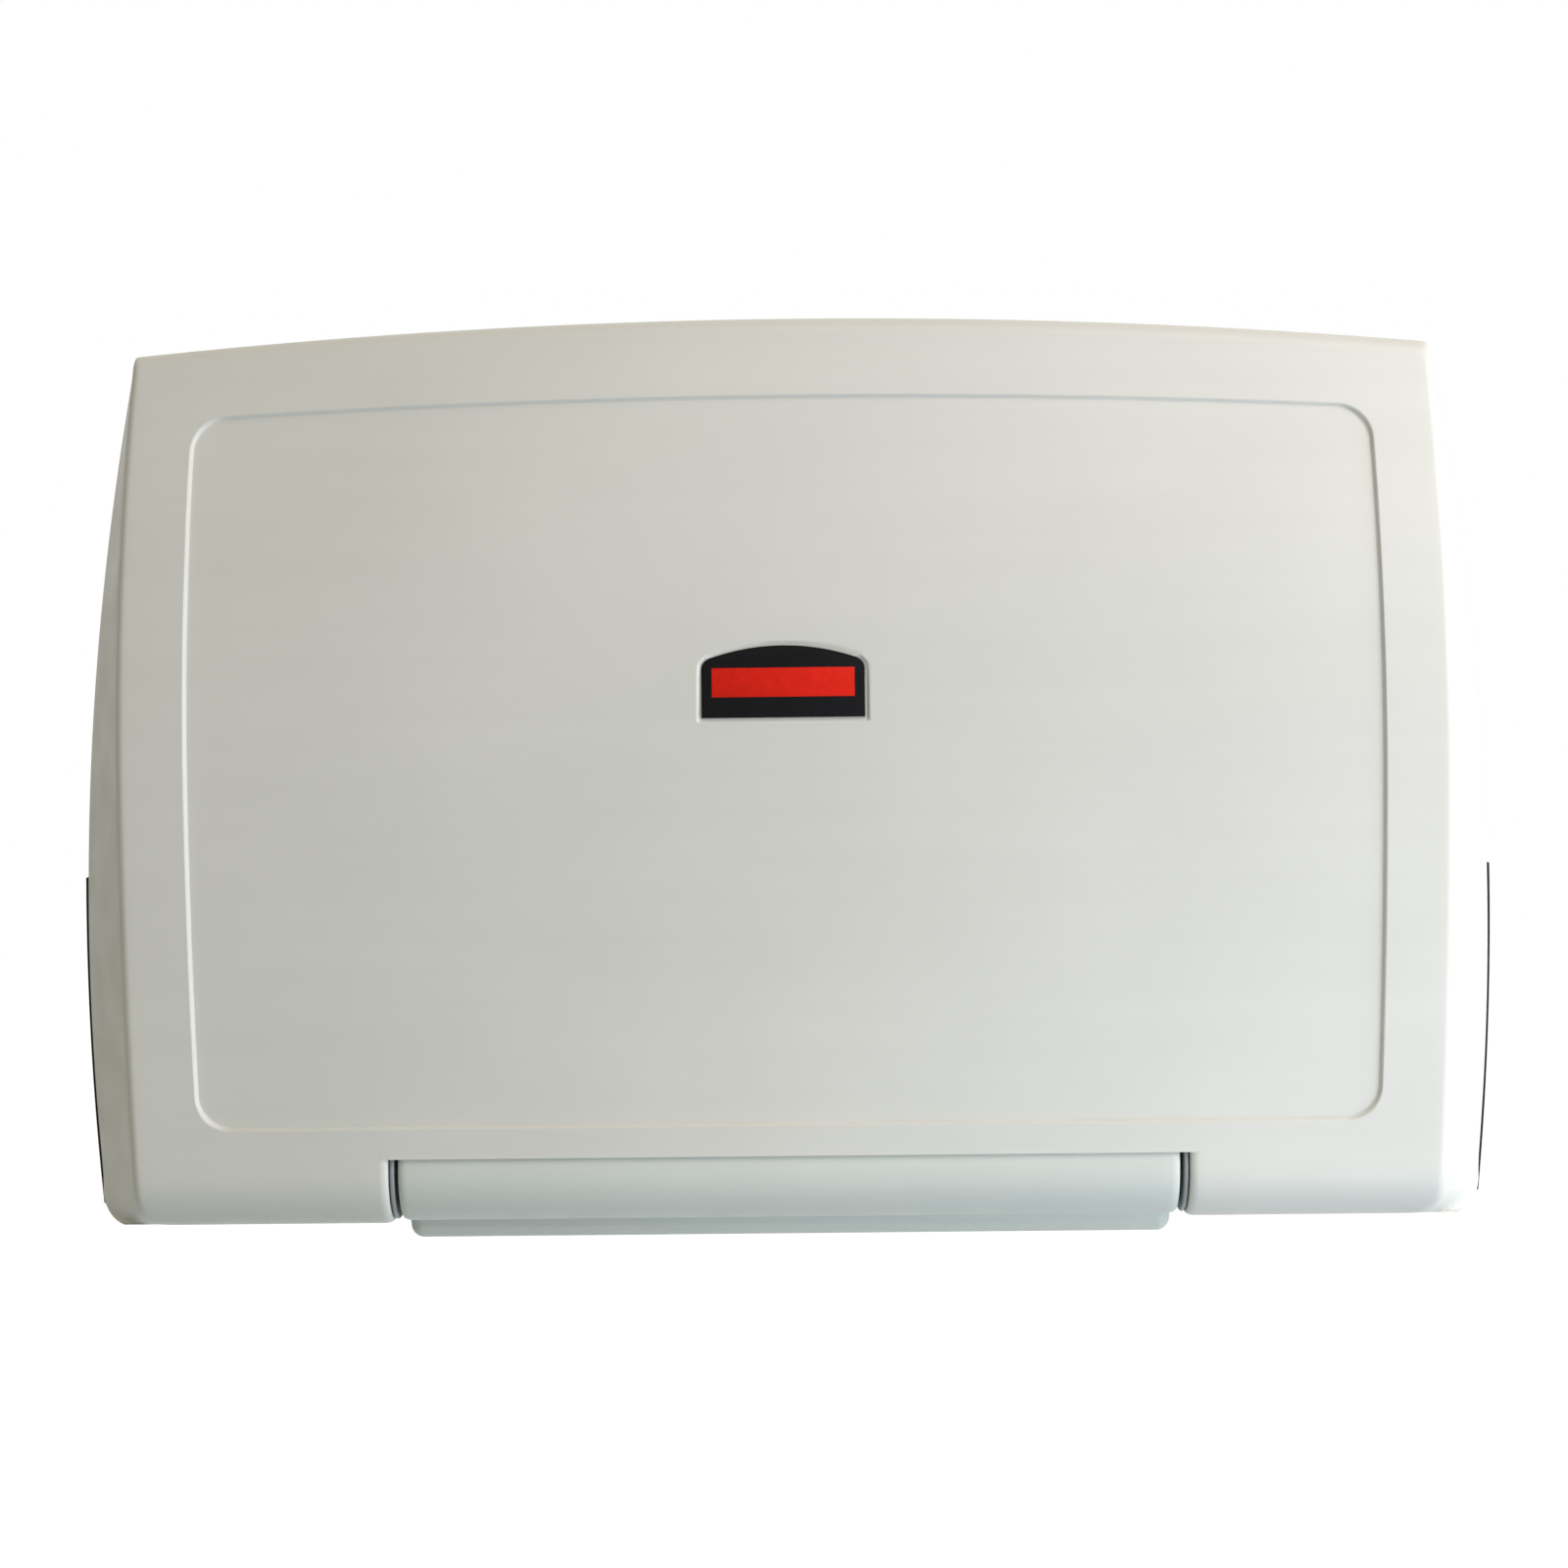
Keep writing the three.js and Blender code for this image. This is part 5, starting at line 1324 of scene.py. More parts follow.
@dataclass
class LinerCover:
    """The lift-off cover over the liner pocket, a raised box with a slot and notched flanges."""

    half: float = 0.161
    foot: float = FORM.top_z - 0.214
    head: float = FORM.top_z - 0.062
    back_y: float = -0.0248
    plate: float = 0.003
    rise: float = 0.009
    flange: float = 0.011
    corner: float = 0.010
    run: float = 0.004
    slot_half: float = 0.085
    slot_z: float = FORM.top_z - 0.175
    slot_height: float = 0.024
    notch: float = 0.0063
    notches: Pair = (FORM.top_z - 0.1943, FORM.top_z - 0.1143)
    notch_height: float = 0.0126
    soft_edge: float = 0.0005
    # Where lines of vertices lie close together
    step_band: float = 0.0035
    corner_columns: float = 0.012
    corner_rows: float = 0.0115

    @cached_property
    def box(self) -> RoundedField:
        """The raised box's area."""
        wide = steady(self.half - self.flange)
        return RoundedField(wide, self.foot + self.flange, self.head - self.flange, 0.0, self.corner)

    def place(self, x: float, z: float) -> Place:
        """Place of a vertex on the cover's front."""
        return x, self.back_y - self.plate - self.rise * self.box.step(x, z, self.run), z

    def is_open(self, place: Vector) -> bool:
        """Tells whether a place lies in the slot or in a notch of the flanges."""
        in_slot = abs(place.x) < self.slot_half and 0 < place.z - self.slot_z < self.slot_height
        at_notch = any(0 < place.z - low < self.notch_height for low in self.notches)
        return in_slot or (at_notch and abs(place.x) > self.half - self.notch)

    def build(self) -> None:
        """Models the cover and adds it to the scene."""
        side, head = self.half - self.flange, self.head - self.flange
        half = spaced(
            0.0, (self.slot_half, 8), (side - self.corner_columns, 5), (side + self.step_band, 24),
            (self.half - self.notch, 1), (self.half, 4),
        )
        columns = [-x for x in reversed(half[1:])] + half
        first, second = self.notches
        rows = spaced(
            self.foot, (self.foot + self.flange - self.step_band, 5), (first, 18),
            (first + self.notch_height, 5), (self.slot_z, 3), (self.slot_z + self.slot_height, 6),
            (second, 6), (second + self.notch_height, 5), (head - self.corner_rows, 6),
            (head + self.step_band, 22), (self.head, 5),
        )
        mesh = mapped_grid(columns, rows, self.place)
        cut_out(mesh, self.is_open)
        face_outwards(mesh, TO_ROOM)
        thicken(mesh, self.plate)
        piece = add_piece(mesh, Tag("cover", "liner_cover", "shell", "liner_cover"), SHELL_PLASTIC)
        soften(piece, self.soft_edge)


COVER = LinerCover()


# Wall panel and hinge barrel


@dataclass
class WallPanel:
    """The moulded panel on the wall, with the liner pocket, the cover's clips and the hinge scoops."""

    front_y: float = -0.0385
    floor_y: float = -0.0245
    inset: float = 0.001
    bottom: float = -0.028
    top: float = FORM.top_z - 0.014
    lower_corner: float = 0.012
    flange: float = 0.028
    recess_bottom: float = 0.046
    recess_corner: float = 0.019
    recess_run: float = 0.006
    pocket_half: float = 0.150
    pocket_bottom: float = FORM.top_z - 0.203
    pocket_top: float = FORM.top_z - 0.073
    pocket_depth: float = 0.015
    pocket_run: float = 0.003
    neck_half: float = 0.2245
    neck_top: float = 0.011
    scoop_half: float = 0.2295
    edge_round: float = 0.003
    clip_rises: Pair = (0.022, 0.102)
    clip_height: float = 0.012
    clip_reach: float = 0.006
    clip_post: float = 0.004
    clip_gap: float = 0.0036
    clip_fit: float = 0.0003
    clip_root: float = 0.001
    clip_round: float = 0.0008
    ledge_half: float = 0.040
    ledge_height: float = 0.005
    # Where lines of vertices lie close together
    side_band: float = 0.055
    scoop_edge: float = 0.002
    pocket_band: float = 0.0045
    recess_bands: Pair = (0.005, 0.006)
    foot_z: float = -0.016
    scoop_z: float = 0.017
    corner_z: float = 0.070
    below_pocket: float = 0.007
    above_pocket: float = 0.010

    @cached_property
    def recess(self) -> RoundedField:
        """The sunk field inside the panel's flange."""
        top = self.top - self.flange
        return RoundedField(self.recess_half, self.recess_bottom, top, 0.0, self.recess_corner)

    @cached_property
    def pocket(self) -> RoundedField:
        """The liner pocket's area."""
        wide = steady(self.pocket_half)
        return RoundedField(wide, self.pocket_bottom, self.pocket_top, 0.0, 2 * self.pocket_run)

    def half(self, z: float) -> float:
        """Half width of the panel at a height."""
        return FORM.rim_half(z) - self.inset - quarter(z - self.bottom, self.lower_corner)

    def recess_half(self, z: float) -> float:
        """Half width of the recess at a height."""
        return self.half(z) - self.flange

    def place(self, column: Column, z: float) -> Place:
        """Place of a vertex on the panel's front.

        Args:
            column: the line up the panel.
            z: height of the row before the arch lowers it.

        Returns:
            The place.
        """
        half = self.half(z)
        x = column.x(self.scoop_half + self.scoop_edge, half, self.side_band)
        up = z - FORM.arch_drop(x, z)
        y = lerp(self.front_y, self.floor_y, self.recess.step(x, z, self.recess_run))
        y += self.pocket_depth * self.pocket.step(x, up, self.pocket_run)
        if x > self.scoop_half and abs(z) < SHELL.cove_radius:
            y = max(y, FORM.hinge_y + math.sqrt(SHELL.cove_radius ** 2 - z * z))
        rim = min(half - x, z - self.bottom, self.top - z)
        return x, y + quarter(rim, self.edge_round), up

    def in_neck(self, place: Vector) -> bool:
        """Tells whether a place of the right half lies where the barrel's neck goes through."""
        return place.x < self.neck_half and place.z < self.neck_top

    def clip(self, side: Side, z: float) -> list[Mesh]:
        """A hooked clip beside the pocket.

        Args:
            side: the side of the pocket.
            z: height of the clip's foot.

        Returns:
            Its post and its hook.
        """
        inside = COVER.half + self.clip_fit
        hook_y = self.floor_y - self.clip_gap
        blocks = []
        for near, back in ((inside, self.floor_y + self.clip_root), (inside - self.clip_reach, hook_y)):
            left, right = sorted((side.value * near, side.value * (inside + self.clip_post)))
            low = Vector((left, hook_y - COVER.plate, z))
            high = Vector((right, back, z + self.clip_height))
            blocks.append(bevelled_block(low, high, self.clip_round))
        return blocks

    def ledge(self) -> Mesh:
        """The ledge that the cover rests on, below the pocket."""
        top = COVER.foot - self.clip_fit
        low = Vector((-self.ledge_half, self.floor_y - COVER.plate, top - self.ledge_height))
        high = Vector((self.ledge_half, self.floor_y + self.clip_root, top))
        return bevelled_block(low, high, self.clip_round)

    def outer_edges(self, mesh: Mesh) -> Edges:
        """Open edges round the panel, without those of the neck's cut-out."""
        neck = Vector((self.neck_half + 0.1 * MM, 0, self.neck_top + 0.1 * MM))
        outer = []
        for edge in open_edges(mesh):
            middle = (edge.verts[0].co + edge.verts[1].co) / 2
            if abs(middle.x) >= neck.x or middle.z >= neck.z:
                outer.append(edge)
        return outer

    def columns(self) -> list[Column]:
        """Lines of vertices up the panel, close together where the surface steps.

        Returns:
            The lines from the middle to the side.
        """
        inner, outer = self.recess_bands
        centre = spaced(
            0.0, (self.pocket_half - self.pocket_band, 10), (self.pocket_half + self.pocket_band, 16),
            (self.neck_half, 5), (self.scoop_half, 2), (self.scoop_half + 0.1 * MM, 1),
            (self.scoop_half + self.scoop_edge, 2),
        )
        edge = spaced(
            self.side_band, (self.flange + outer, 12), (self.flange - inner, 16), (self.edge_round, 5),
            (0.0, 5),
        )
        return face_columns(centre, 9, edge)

    def rows(self) -> list[float]:
        """Heights of the lines of vertices across the panel, close together where the surface steps.

        Returns:
            The heights from the foot to the top.
        """
        low, high, band = self.pocket_bottom, self.pocket_top, self.pocket_band
        inner, outer = self.recess_bands
        recess_top = self.top - self.flange
        return spaced(
            self.bottom, (self.bottom + self.edge_round, 5), (self.foot_z, 6), (self.neck_top, 12),
            (self.scoop_z, 3), (self.recess_bottom - inner, 8), (self.recess_bottom + outer, 16),
            (self.corner_z, 10), (low - self.below_pocket, 14), (low - band, 2), (low + band, 16),
            (high - band, 8), (high + band, 16), (high + self.above_pocket, 4), (recess_top - inner, 12),
            (recess_top + outer, 16), (self.top - self.edge_round, 5), (self.top, 5),
        )

    def build(self) -> None:
        """Models the panel and adds it to the scene."""
        mesh = mapped_grid(self.columns(), self.rows(), self.place)
        cut_out(mesh, self.in_neck)
        mirror_x(mesh)
        skirt_to_wall(mesh, self.outer_edges(mesh))
        face_outwards(mesh, TO_ROOM)
        thicken(mesh, FORM.wall)
        for side in Side:
            for rise in self.clip_rises:
                merge_into(mesh, *self.clip(side, self.pocket_bottom + rise))
        merge_into(mesh, self.ledge())
        add_piece(mesh, Tag("panel", "wall_unit", "shell", "wall_panel"), SHELL_PLASTIC)


@dataclass
class HingeBarrel:
    """The wall panel's round barrel, with the neck and lip that hold it to the wall."""

    radius: float = 0.0315
    half: float = 0.2275
    end_run: float = 0.0052
    end_drop: float = 0.0026
    bush_hole: float = 0.0113
    neck_half: float = 0.2265
    neck_top: float = 0.014
    lip_z: float = -0.045
    lip_y: float = -0.058
    lip_corner: float = 0.008
    lip_round: float = 0.0075

    def barrel(self) -> Mesh:
        """The barrel with rounded ends and the bushes' holes.

        Returns:
            A new bmesh.
        """
        ring = self.radius - self.end_drop
        flat = self.half - self.end_run
        end = [(self.bush_hole, self.half)]
        for turn in quarter_turn(8):
            end.append((ring + self.end_drop * math.sin(turn), flat + self.end_run * math.cos(turn)))
        straight = [(self.radius, x) for x in spaced(flat, (-flat, 30))[1:-1]]
        profile = [*end, *straight, *((radius, -x) for radius, x in reversed(end))]
        mesh = turned(profile, ACROSS, FORM.hinge, 72)
        face_outwards(mesh, TO_ROOM)
        thicken(mesh, FORM.wall)
        return mesh

    def outline(self) -> list[Pair]:
        """Points (x, z) round the front of the neck, with round lower corners.

        Returns:
            The points in order.
        """
        inner = self.neck_half - self.lip_corner
        low = self.lip_z + self.lip_corner
        points = [(self.neck_half, self.neck_top), (-self.neck_half, self.neck_top)]
        for middle, start in ((-inner, math.pi), (inner, 1.5 * math.pi)):
            for turn in quarter_turn(8):
                across = self.lip_corner * math.cos(start + turn)
                points.append((middle + across, low + self.lip_corner * math.sin(start + turn)))
        return points

    def neck(self) -> Mesh:
        """The neck behind the barrel and the lip below it, open to the wall.

        Returns:
            A new bmesh.
        """
        mesh = bmesh.new()
        verts = [mesh.verts.new((x, self.lip_y, z)) for x, z in self.outline()]
        face = bmesh.ops.contextual_create(mesh, geom=verts)["faces"][0]
        skirt_to_wall(mesh, list(face.edges))
        front = [edge for edge in face.edges if edge.verts[0].co.z < 0 and edge.verts[1].co.z < 0]
        round_edges(mesh, front, self.lip_round, 4)
        face_outwards(mesh, TO_ROOM)
        thicken(mesh, FORM.wall)
        return mesh

    def build(self) -> None:
        """Models the barrel and adds it to the scene."""
        mesh = merge_into(self.barrel(), self.neck())
        # The barrel and its lip wear the shell plastic painted darker and cooler: painted shade and cool
        # light.
        add_piece(mesh, Tag("hinge_barrel", "wall_unit", "shell", "wall_panel"), SHADED_BARREL_PLASTIC)


# Small pieces of the wall unit


@dataclass
class WallTrim:
    """Rubber side strips, closing bumpers and the grey rings beside the barrel."""

    strip_inner: float = 0.0007
    strip_outer: float = 0.002
    strip_low: float = -0.025
    strip_high: float = 0.172
    strip_round: float = 0.0009
    strip_cuts: int = 18
    ring_bore: float = 0.0142
    ring_round: float = 0.0007
    bumper_round: float = 0.0016

    def strip(self, side: Side) -> None:
        """Adds a strip that follows the panel's bowed side."""
        node = f"edge_strip_{side.word}"
        low_y, high_y = (corner.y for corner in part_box(node))
        left, right = sorted((-side.value * self.strip_inner, side.value * self.strip_outer))
        low = Vector((left, low_y, self.strip_low))
        high = Vector((right, high_y, self.strip_high))
        mesh = bevelled_block(low, high, self.strip_round)
        for z in spaced(self.strip_low, (self.strip_high, self.strip_cuts))[1:-1]:
            slice_at(mesh, UP * z, UP)
        for vert in mesh.verts:
            vert.co.x += side.value * FORM.rim_half(vert.co.z)
        add_piece(mesh, Tag(f"strip_{side.word}", "wall_unit", "black_rubber", node), BLACK_RUBBER)

    def ring(self, side: Side) -> None:
        """Adds a grey ring between the barrel and the bed's foot."""
        node = f"spacer_ring_{side.word}"
        low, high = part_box(node)
        radius, edge = (high.z - low.z) / 2, self.ring_round
        near, far = (self.ring_bore, low.x), (self.ring_bore, high.x)
        left = [(radius - edge, low.x), (radius, low.x + edge)]
        right = [(radius, high.x - edge), (radius - edge, high.x)]
        mesh = turned([near, *left, *right, far, near], ACROSS, FORM.hinge, 72)
        add_piece(mesh, Tag(f"ring_{side.word}", "wall_unit", "grey_plastic", node), GREY_PLASTIC)

    def bumper(self, side: Side) -> None:
        """Adds a domed rubber button that the shut bed rests on."""
        node = f"closing_bumper_{side.word}"
        low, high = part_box(node)
        radius, edge = (high.x - low.x) / 2, self.bumper_round
        profile = [(0.0, low.y)]
        for turn in quarter_turn(6):
            profile.append((radius - edge + edge * math.sin(turn), low.y + edge * (1 - math.cos(turn))))
        profile += [(radius, high.y), (0.0, high.y)]
        centre = Vector(((low.x + high.x) / 2, 0, (low.z + high.z) / 2))
        mesh = turned(profile, TO_WALL, centre, 32)
        add_piece(mesh, Tag(f"bumper_{side.word}", "wall_unit", "black_rubber", node), BLACK_RUBBER)

    def build(self) -> None:
        """Adds the trim of both sides."""
        for side in Side:
            self.strip(side)
            self.ring(side)
            self.bumper(side)


@dataclass
class BagHook:
    """A bag hook in the panel's recess: a rounded plate with a bar that turns up."""

    x: float = 0.290
    z: float = 0.225
    base_half: float = 0.014
    base_height: float = 0.050
    base_corner: float = 0.007
    base_thickness: float = 0.004
    base_round: float = 0.0015
    back_y: float = -0.0248
    half: float = 0.007
    bar: float = 0.006
    bar_corner: float = 0.0018
    bar_root: float = 0.001
    throat: float = 0.015
    tip: float = 0.024
    tip_round: float = 0.002
    tip_share: float = 0.55
    bar_z: float = 0.008
    bend: float = 0.007

    def base(self, x: float) -> Mesh:
        """The plate on the panel.

        Args:
            x: place of the hook's middle.

        Returns:
            A new bmesh.
        """
        section = rounded_section(self.base_half, self.base_height / 2, self.base_corner, 6)
        middle = Vector((x, self.back_y, self.z + self.base_height / 2))
        path = [Station(middle, UP)]
        for turn in quarter_turn(4):
            depth = self.base_thickness - self.base_round * (1 - math.sin(turn))
            scale = 1.0 - self.base_round * (1 - math.cos(turn)) / self.base_half
            path.append(Station(middle + TO_ROOM * depth, UP, scale))
        return swept_bar(section, path)

    def arm(self, x: float) -> Mesh:
        """The bar that goes out from the plate and turns up.

        Args:
            x: place of the hook's middle.

        Returns:
            A new bmesh.
        """
        start = self.back_y - self.base_thickness
        front = start - self.throat - self.bar / 2
        level = self.z + self.bar_z + self.bar / 2
        centre = Vector((x, front + self.bend, level + self.bend))
        outward = spaced(start + self.bar_root, (centre.y, 4))
        path = [Station(Vector((x, y, level)), UP) for y in outward]
        for turn in quarter_turn(8)[1:]:
            lean = UP * math.cos(turn) + TO_WALL * math.sin(turn)
            path.append(Station(centre - lean * self.bend, lean))
        top = self.z + self.bar_z + self.tip
        upward = spaced(centre.z, (top - self.tip_round, 3))
        path += [Station(Vector((x, front, z)), TO_WALL) for z in upward[1:]]
        for turn in quarter_turn(4)[1:]:
            middle = Vector((x, front, top - self.tip_round * (1 - math.sin(turn))))
            path.append(Station(middle, TO_WALL, lerp(self.tip_share, 1.0, math.cos(turn))))
        return swept_bar(rounded_section(self.half, self.bar / 2, self.bar_corner), path)

    def build(self) -> None:
        """Adds both hooks."""
        for side in Side:
            x = side.value * self.x
            mesh = merge_into(self.base(x), self.arm(x))
            tag = Tag(f"hook_{side.word}", "wall_unit", "grey_plastic", f"bag_hook_{side.word}")
            add_piece(mesh, tag, GREY_PLASTIC)


@dataclass(frozen=True)
class ScrewSize:
    """A kind of screw: what it moves with, the way its head looks along Y, and the head's size."""

    body: str
    outward: int
    width: float
    height: float


PANEL_SCREW = ScrewSize("wall_unit", -1, 0.012, 0.0032)
TRAY_SCREW = ScrewSize("bed", 1, 0.0084, 0.0022)
HOOK_SCREW = ScrewSize("wall_unit", -1, 0.009, 0.0024)


@dataclass
class CrossScrews:
    """Screws with domed heads and a cross recess."""

    dome: float = 0.00098
    dome_power: int = 4
    cross_half: float = 0.14
    cross_reach: float = 0.57
    cross_depth: float = 0.55
    shank_share: float = 0.2
    cells: int = 16

    def in_cross(self, face: bmesh.types.BMFace) -> bool:
        """Tells whether a face of the head's flat grid lies in the cross."""
        middle = face.calc_center_median()
        thin, wide = sorted((abs(middle.x), abs(middle.y)))
        return thin < self.cross_half and wide < self.cross_reach

    def head(self, centre: Vector, size: ScrewSize) -> Mesh:
        """A screw's head.

        Args:
            centre: middle of the head's outer face.
            size: the kind of screw.

        Returns:
            A new bmesh.
        """
        mesh = bmesh.new()
        bmesh.ops.create_grid(mesh, x_segments=self.cells, y_segments=self.cells, size=1.0)
        cross = [face for face in mesh.faces if self.in_cross(face)]
        deep = set(verts_of(bmesh.ops.extrude_face_region(mesh, geom=cross)["geom"]))
        bmesh.ops.delete(mesh, geom=cross, context="FACES_ONLY")
        foot = set(verts_of(bmesh.ops.extrude_edge_only(mesh, edges=open_edges(mesh))["geom"]))
        radius = size.width / 2
        for vert in mesh.verts:
            across = vert.co.x * math.sqrt(1 - vert.co.y ** 2 / 2)
            up = vert.co.y * math.sqrt(1 - vert.co.x ** 2 / 2)
            down = self.dome * math.hypot(across, up) ** self.dome_power
            if vert in deep:
                down = size.height * self.cross_depth
            if vert in foot:
                down = size.height
            vert.co = centre + Vector((across * radius, -size.outward * down, up * radius))
        close_holes(mesh)
        return mesh

    def add(self, node: str, size: ScrewSize) -> None:
        """Adds the head and shank of one screw at its node's place."""
        low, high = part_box(node)
        face, tip = (high.y, low.y) if size.outward > 0 else (low.y, high.y)
        near = face - size.outward * size.height
        axis = Vector(((low.x + high.x) / 2, 0, (low.z + high.z) / 2))
        shank = size.width * self.shank_share
        profile = [(0.0, near), (shank, near), (shank, tip + size.outward * shank), (0.0, tip)]
        mesh = self.head(axis + TO_WALL * face, size)
        merge_into(mesh, turned(profile, TO_WALL, axis, 16))
        add_piece(mesh, Tag(f"{node}_visual", size.body, "zinc_steel", node), ZINC_STEEL, CRISP_ANGLE)

    def build(self) -> None:
        """Adds all screws that show."""
        for side in Side:
            for height in ("lower", "upper"):
                self.add(f"panel_screw_{side.word}_{height}", PANEL_SCREW)
                self.add(f"tray_screw_{side.word}_{height}", TRAY_SCREW)
            self.add(f"hook_screw_{side.word}", HOOK_SCREW)


# Belt and buckle


@dataclass
class Belt:
    """The child's belt on the tray: two straps, a buckle with its tongue and button, two anchors."""

    width: float = 0.038
    middle_z: float = 0.235
    floor_y: float = -0.0732
    thickness: float = 0.0016
    float_gap: float = 0.0004
    lift: float = 0.0055
    run: float = 0.013
    wave: float = 0.00025
    wave_turn: float = 41.0
    wave_skew: float = 8.0
    crown: float = 0.0002
    weave_repeat: float = 1.5
    soft_strap: float = 0.0004
    anchor_round: float = 0.0016
    anchor_margin: float = 0.004
    anchor_dish: float = 0.0008
    housing_round: float = 0.0026
    soft_housing: float = 0.0004
    button_pocket: float = 0.0206
    pocket_depth: float = 0.006
    mouth_height: float = 0.0056
    mouth_width: float = 0.0466
    mouth_depth: float = 0.0163
    tongue_round: float = 0.0012
    rib_places: tuple[float, ...] = (0.0065, 0.0095, 0.0125)
    rib_width: float = 0.0014
    rib_end: float = 0.006
    rib_root: float = 0.0004
    rib_rise: float = 0.0006
    button_round: float = 0.001
    button_margin: float = 0.0025
    button_dish: float = 0.0006
    soft_button: float = 0.0003

    def strap(self, side: Side) -> None:
        """Adds a strap that lies on the tray's floor and rises to the buckle, with its weave's UV map."""
        node = f"belt_{side.word}"
        low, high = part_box(node)
        outer, inner = (low.x, high.x) if side is Side.LEFT else (high.x, low.x)
        toward = -side.value
        bend = inner - toward * 2 * self.run
        base = self.floor_y + self.thickness + self.float_gap

        def place(x: float, across: float) -> Place:
            """Place of a vertex of the strap's upper side."""
            rise = self.lift * smooth((x - bend) * toward, 2 * self.run)
            wave = self.wave * math.sin(self.wave_turn * x) * (1 + self.wave_skew * across)
            crown = self.crown * (2 * across / self.width) ** 2
            return x, base + rise + wave - crown, self.middle_z + across

        rows = spaced(-self.width / 2, (self.width / 2, 8))
        mesh = mapped_grid(spaced(outer, (bend, 40), (inner, 24)), rows, place)
        face_outwards(mesh, TO_WALL)
        thicken(mesh, self.thickness)
        uv = mesh.loops.layers.uv.new(STRAP_WEBBING.uv_map)
        for corner in (corner for face in mesh.faces for corner in face.loops):
            along = (corner.vert.co.x - outer) / self.width * self.weave_repeat
            corner[uv].uv = (along, (corner.vert.co.z - self.middle_z) / self.width + 0.5)
        piece = add_piece(mesh, Tag(f"strap_{side.word}", "bed", "webbing", node), STRAP_WEBBING)
        soften(piece, self.soft_strap)

    def anchor(self, side: Side) -> None:
        """Adds a dished plate over a strap's end."""
        node = f"belt_anchor_{side.word}"
        mesh = bevelled_block(*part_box(node), self.anchor_round, 4)
        dish(mesh, self.anchor_margin, self.anchor_dish)
        add_piece(mesh, Tag(f"anchor_{side.word}", "bed", "black_plastic", node), BLACK_PLASTIC)

    def sink(self, mesh: Mesh, middle: Vector, half: Vector, inward: Vector) -> None:
        """Sinks a rectangular pocket into a block.

        Args:
            mesh: the block.
            middle: middle of the pocket's mouth.
            half: half of the mouth's size, with no extent along the pocket.
            inward: direction and depth of the pocket.
        """
        for normal in (axis for axis in (ACROSS, TO_WALL, UP) if half.dot(axis) > 0):
            slice_at(mesh, middle - half, normal)
            slice_at(mesh, middle + half, normal)
        looking = faces_towards(mesh, -inward.normalized())
        mouth = min(looking, key=lambda face: (face.calc_center_median() - middle).length)
        pulled = bmesh.ops.extrude_face_region(mesh, geom=[mouth])["geom"]
        bmesh.ops.delete(mesh, geom=[mouth], context="FACES_ONLY")
        bmesh.ops.translate(mesh, vec=inward, verts=verts_of(pulled))

    def housing(self) -> None:
        """Adds the buckle's housing with the button's pocket and the tongue's mouth."""
        low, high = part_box("buckle_housing")
        button_x, _, button_z = sum(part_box("buckle_button"), Vector()) / 2
        _, tongue_y, tongue_z = sum(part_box("buckle_tongue"), Vector()) / 2
        mesh = bevelled_block(low, high, self.housing_round, 5)
        pocket = Vector((self.button_pocket, 0, self.button_pocket)) / 2
        self.sink(mesh, Vector((button_x, high.y, button_z)), pocket, TO_ROOM * self.pocket_depth)
        mouth = Vector((0, self.mouth_height, self.mouth_width)) / 2
        self.sink(mesh, Vector((high.x, tongue_y, tongue_z)), mouth, -ACROSS * self.mouth_depth)
        even_normals(mesh)
        piece = add_piece(mesh, Tag("housing", "bed", "black_plastic", "buckle_housing"), BLACK_PLASTIC)
        soften(piece, self.soft_housing)

    def tongue(self) -> None:
        """Adds the tongue with its grip ribs."""
        low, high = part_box("buckle_tongue")
        mesh = bevelled_block(low, high, self.tongue_round)
        for x in self.rib_places:
            rib_low = Vector((x, high.y - self.rib_root, low.z + self.rib_end))
            rib_high = Vector((x + self.rib_width, high.y + self.rib_rise, high.z - self.rib_end))
            merge_into(mesh, bevelled_block(rib_low, rib_high, self.rib_root, 2))
        add_piece(mesh, Tag("tongue", "bed", "black_plastic", "buckle_tongue"), BLACK_PLASTIC)

    def button(self) -> None:
        """Adds the dished release button."""
        mesh = bevelled_block(*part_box("buckle_button"), self.button_round, 4)
        dish(mesh, self.button_margin, self.button_dish)
        piece = add_piece(mesh, Tag("button", "buckle_button", "button_red", "buckle_button"), RED_PLASTIC)
        soften(piece, self.soft_button)

    def build(self) -> None:
        """Adds the straps, anchors and buckle."""
        for side in Side:
            self.strap(side)
            self.anchor(side)
        self.housing()
        self.tongue()
        self.button()


# Studio


@dataclass(frozen=True)
class Lamp:
    """A square area lamp that looks at a point."""

    name: str
    place: Place
    target: Place
    size: float
    watts: float
    color: Color

    def build(self) -> None:
        """Adds the lamp."""
        data = bpy.data.lights.new(self.name, "AREA")
        data.size = self.size
        data.energy = self.watts
        data.color = self.color
        lamp = bpy.data.objects.new(self.name, data)
        aim = (Vector(self.target) - Vector(self.place)).to_track_quat("-Z", "Y").to_matrix().to_4x4()
        lamp.matrix_world = Matrix.Translation(self.place) @ aim
        bpy.context.scene.collection.objects.link(lamp)


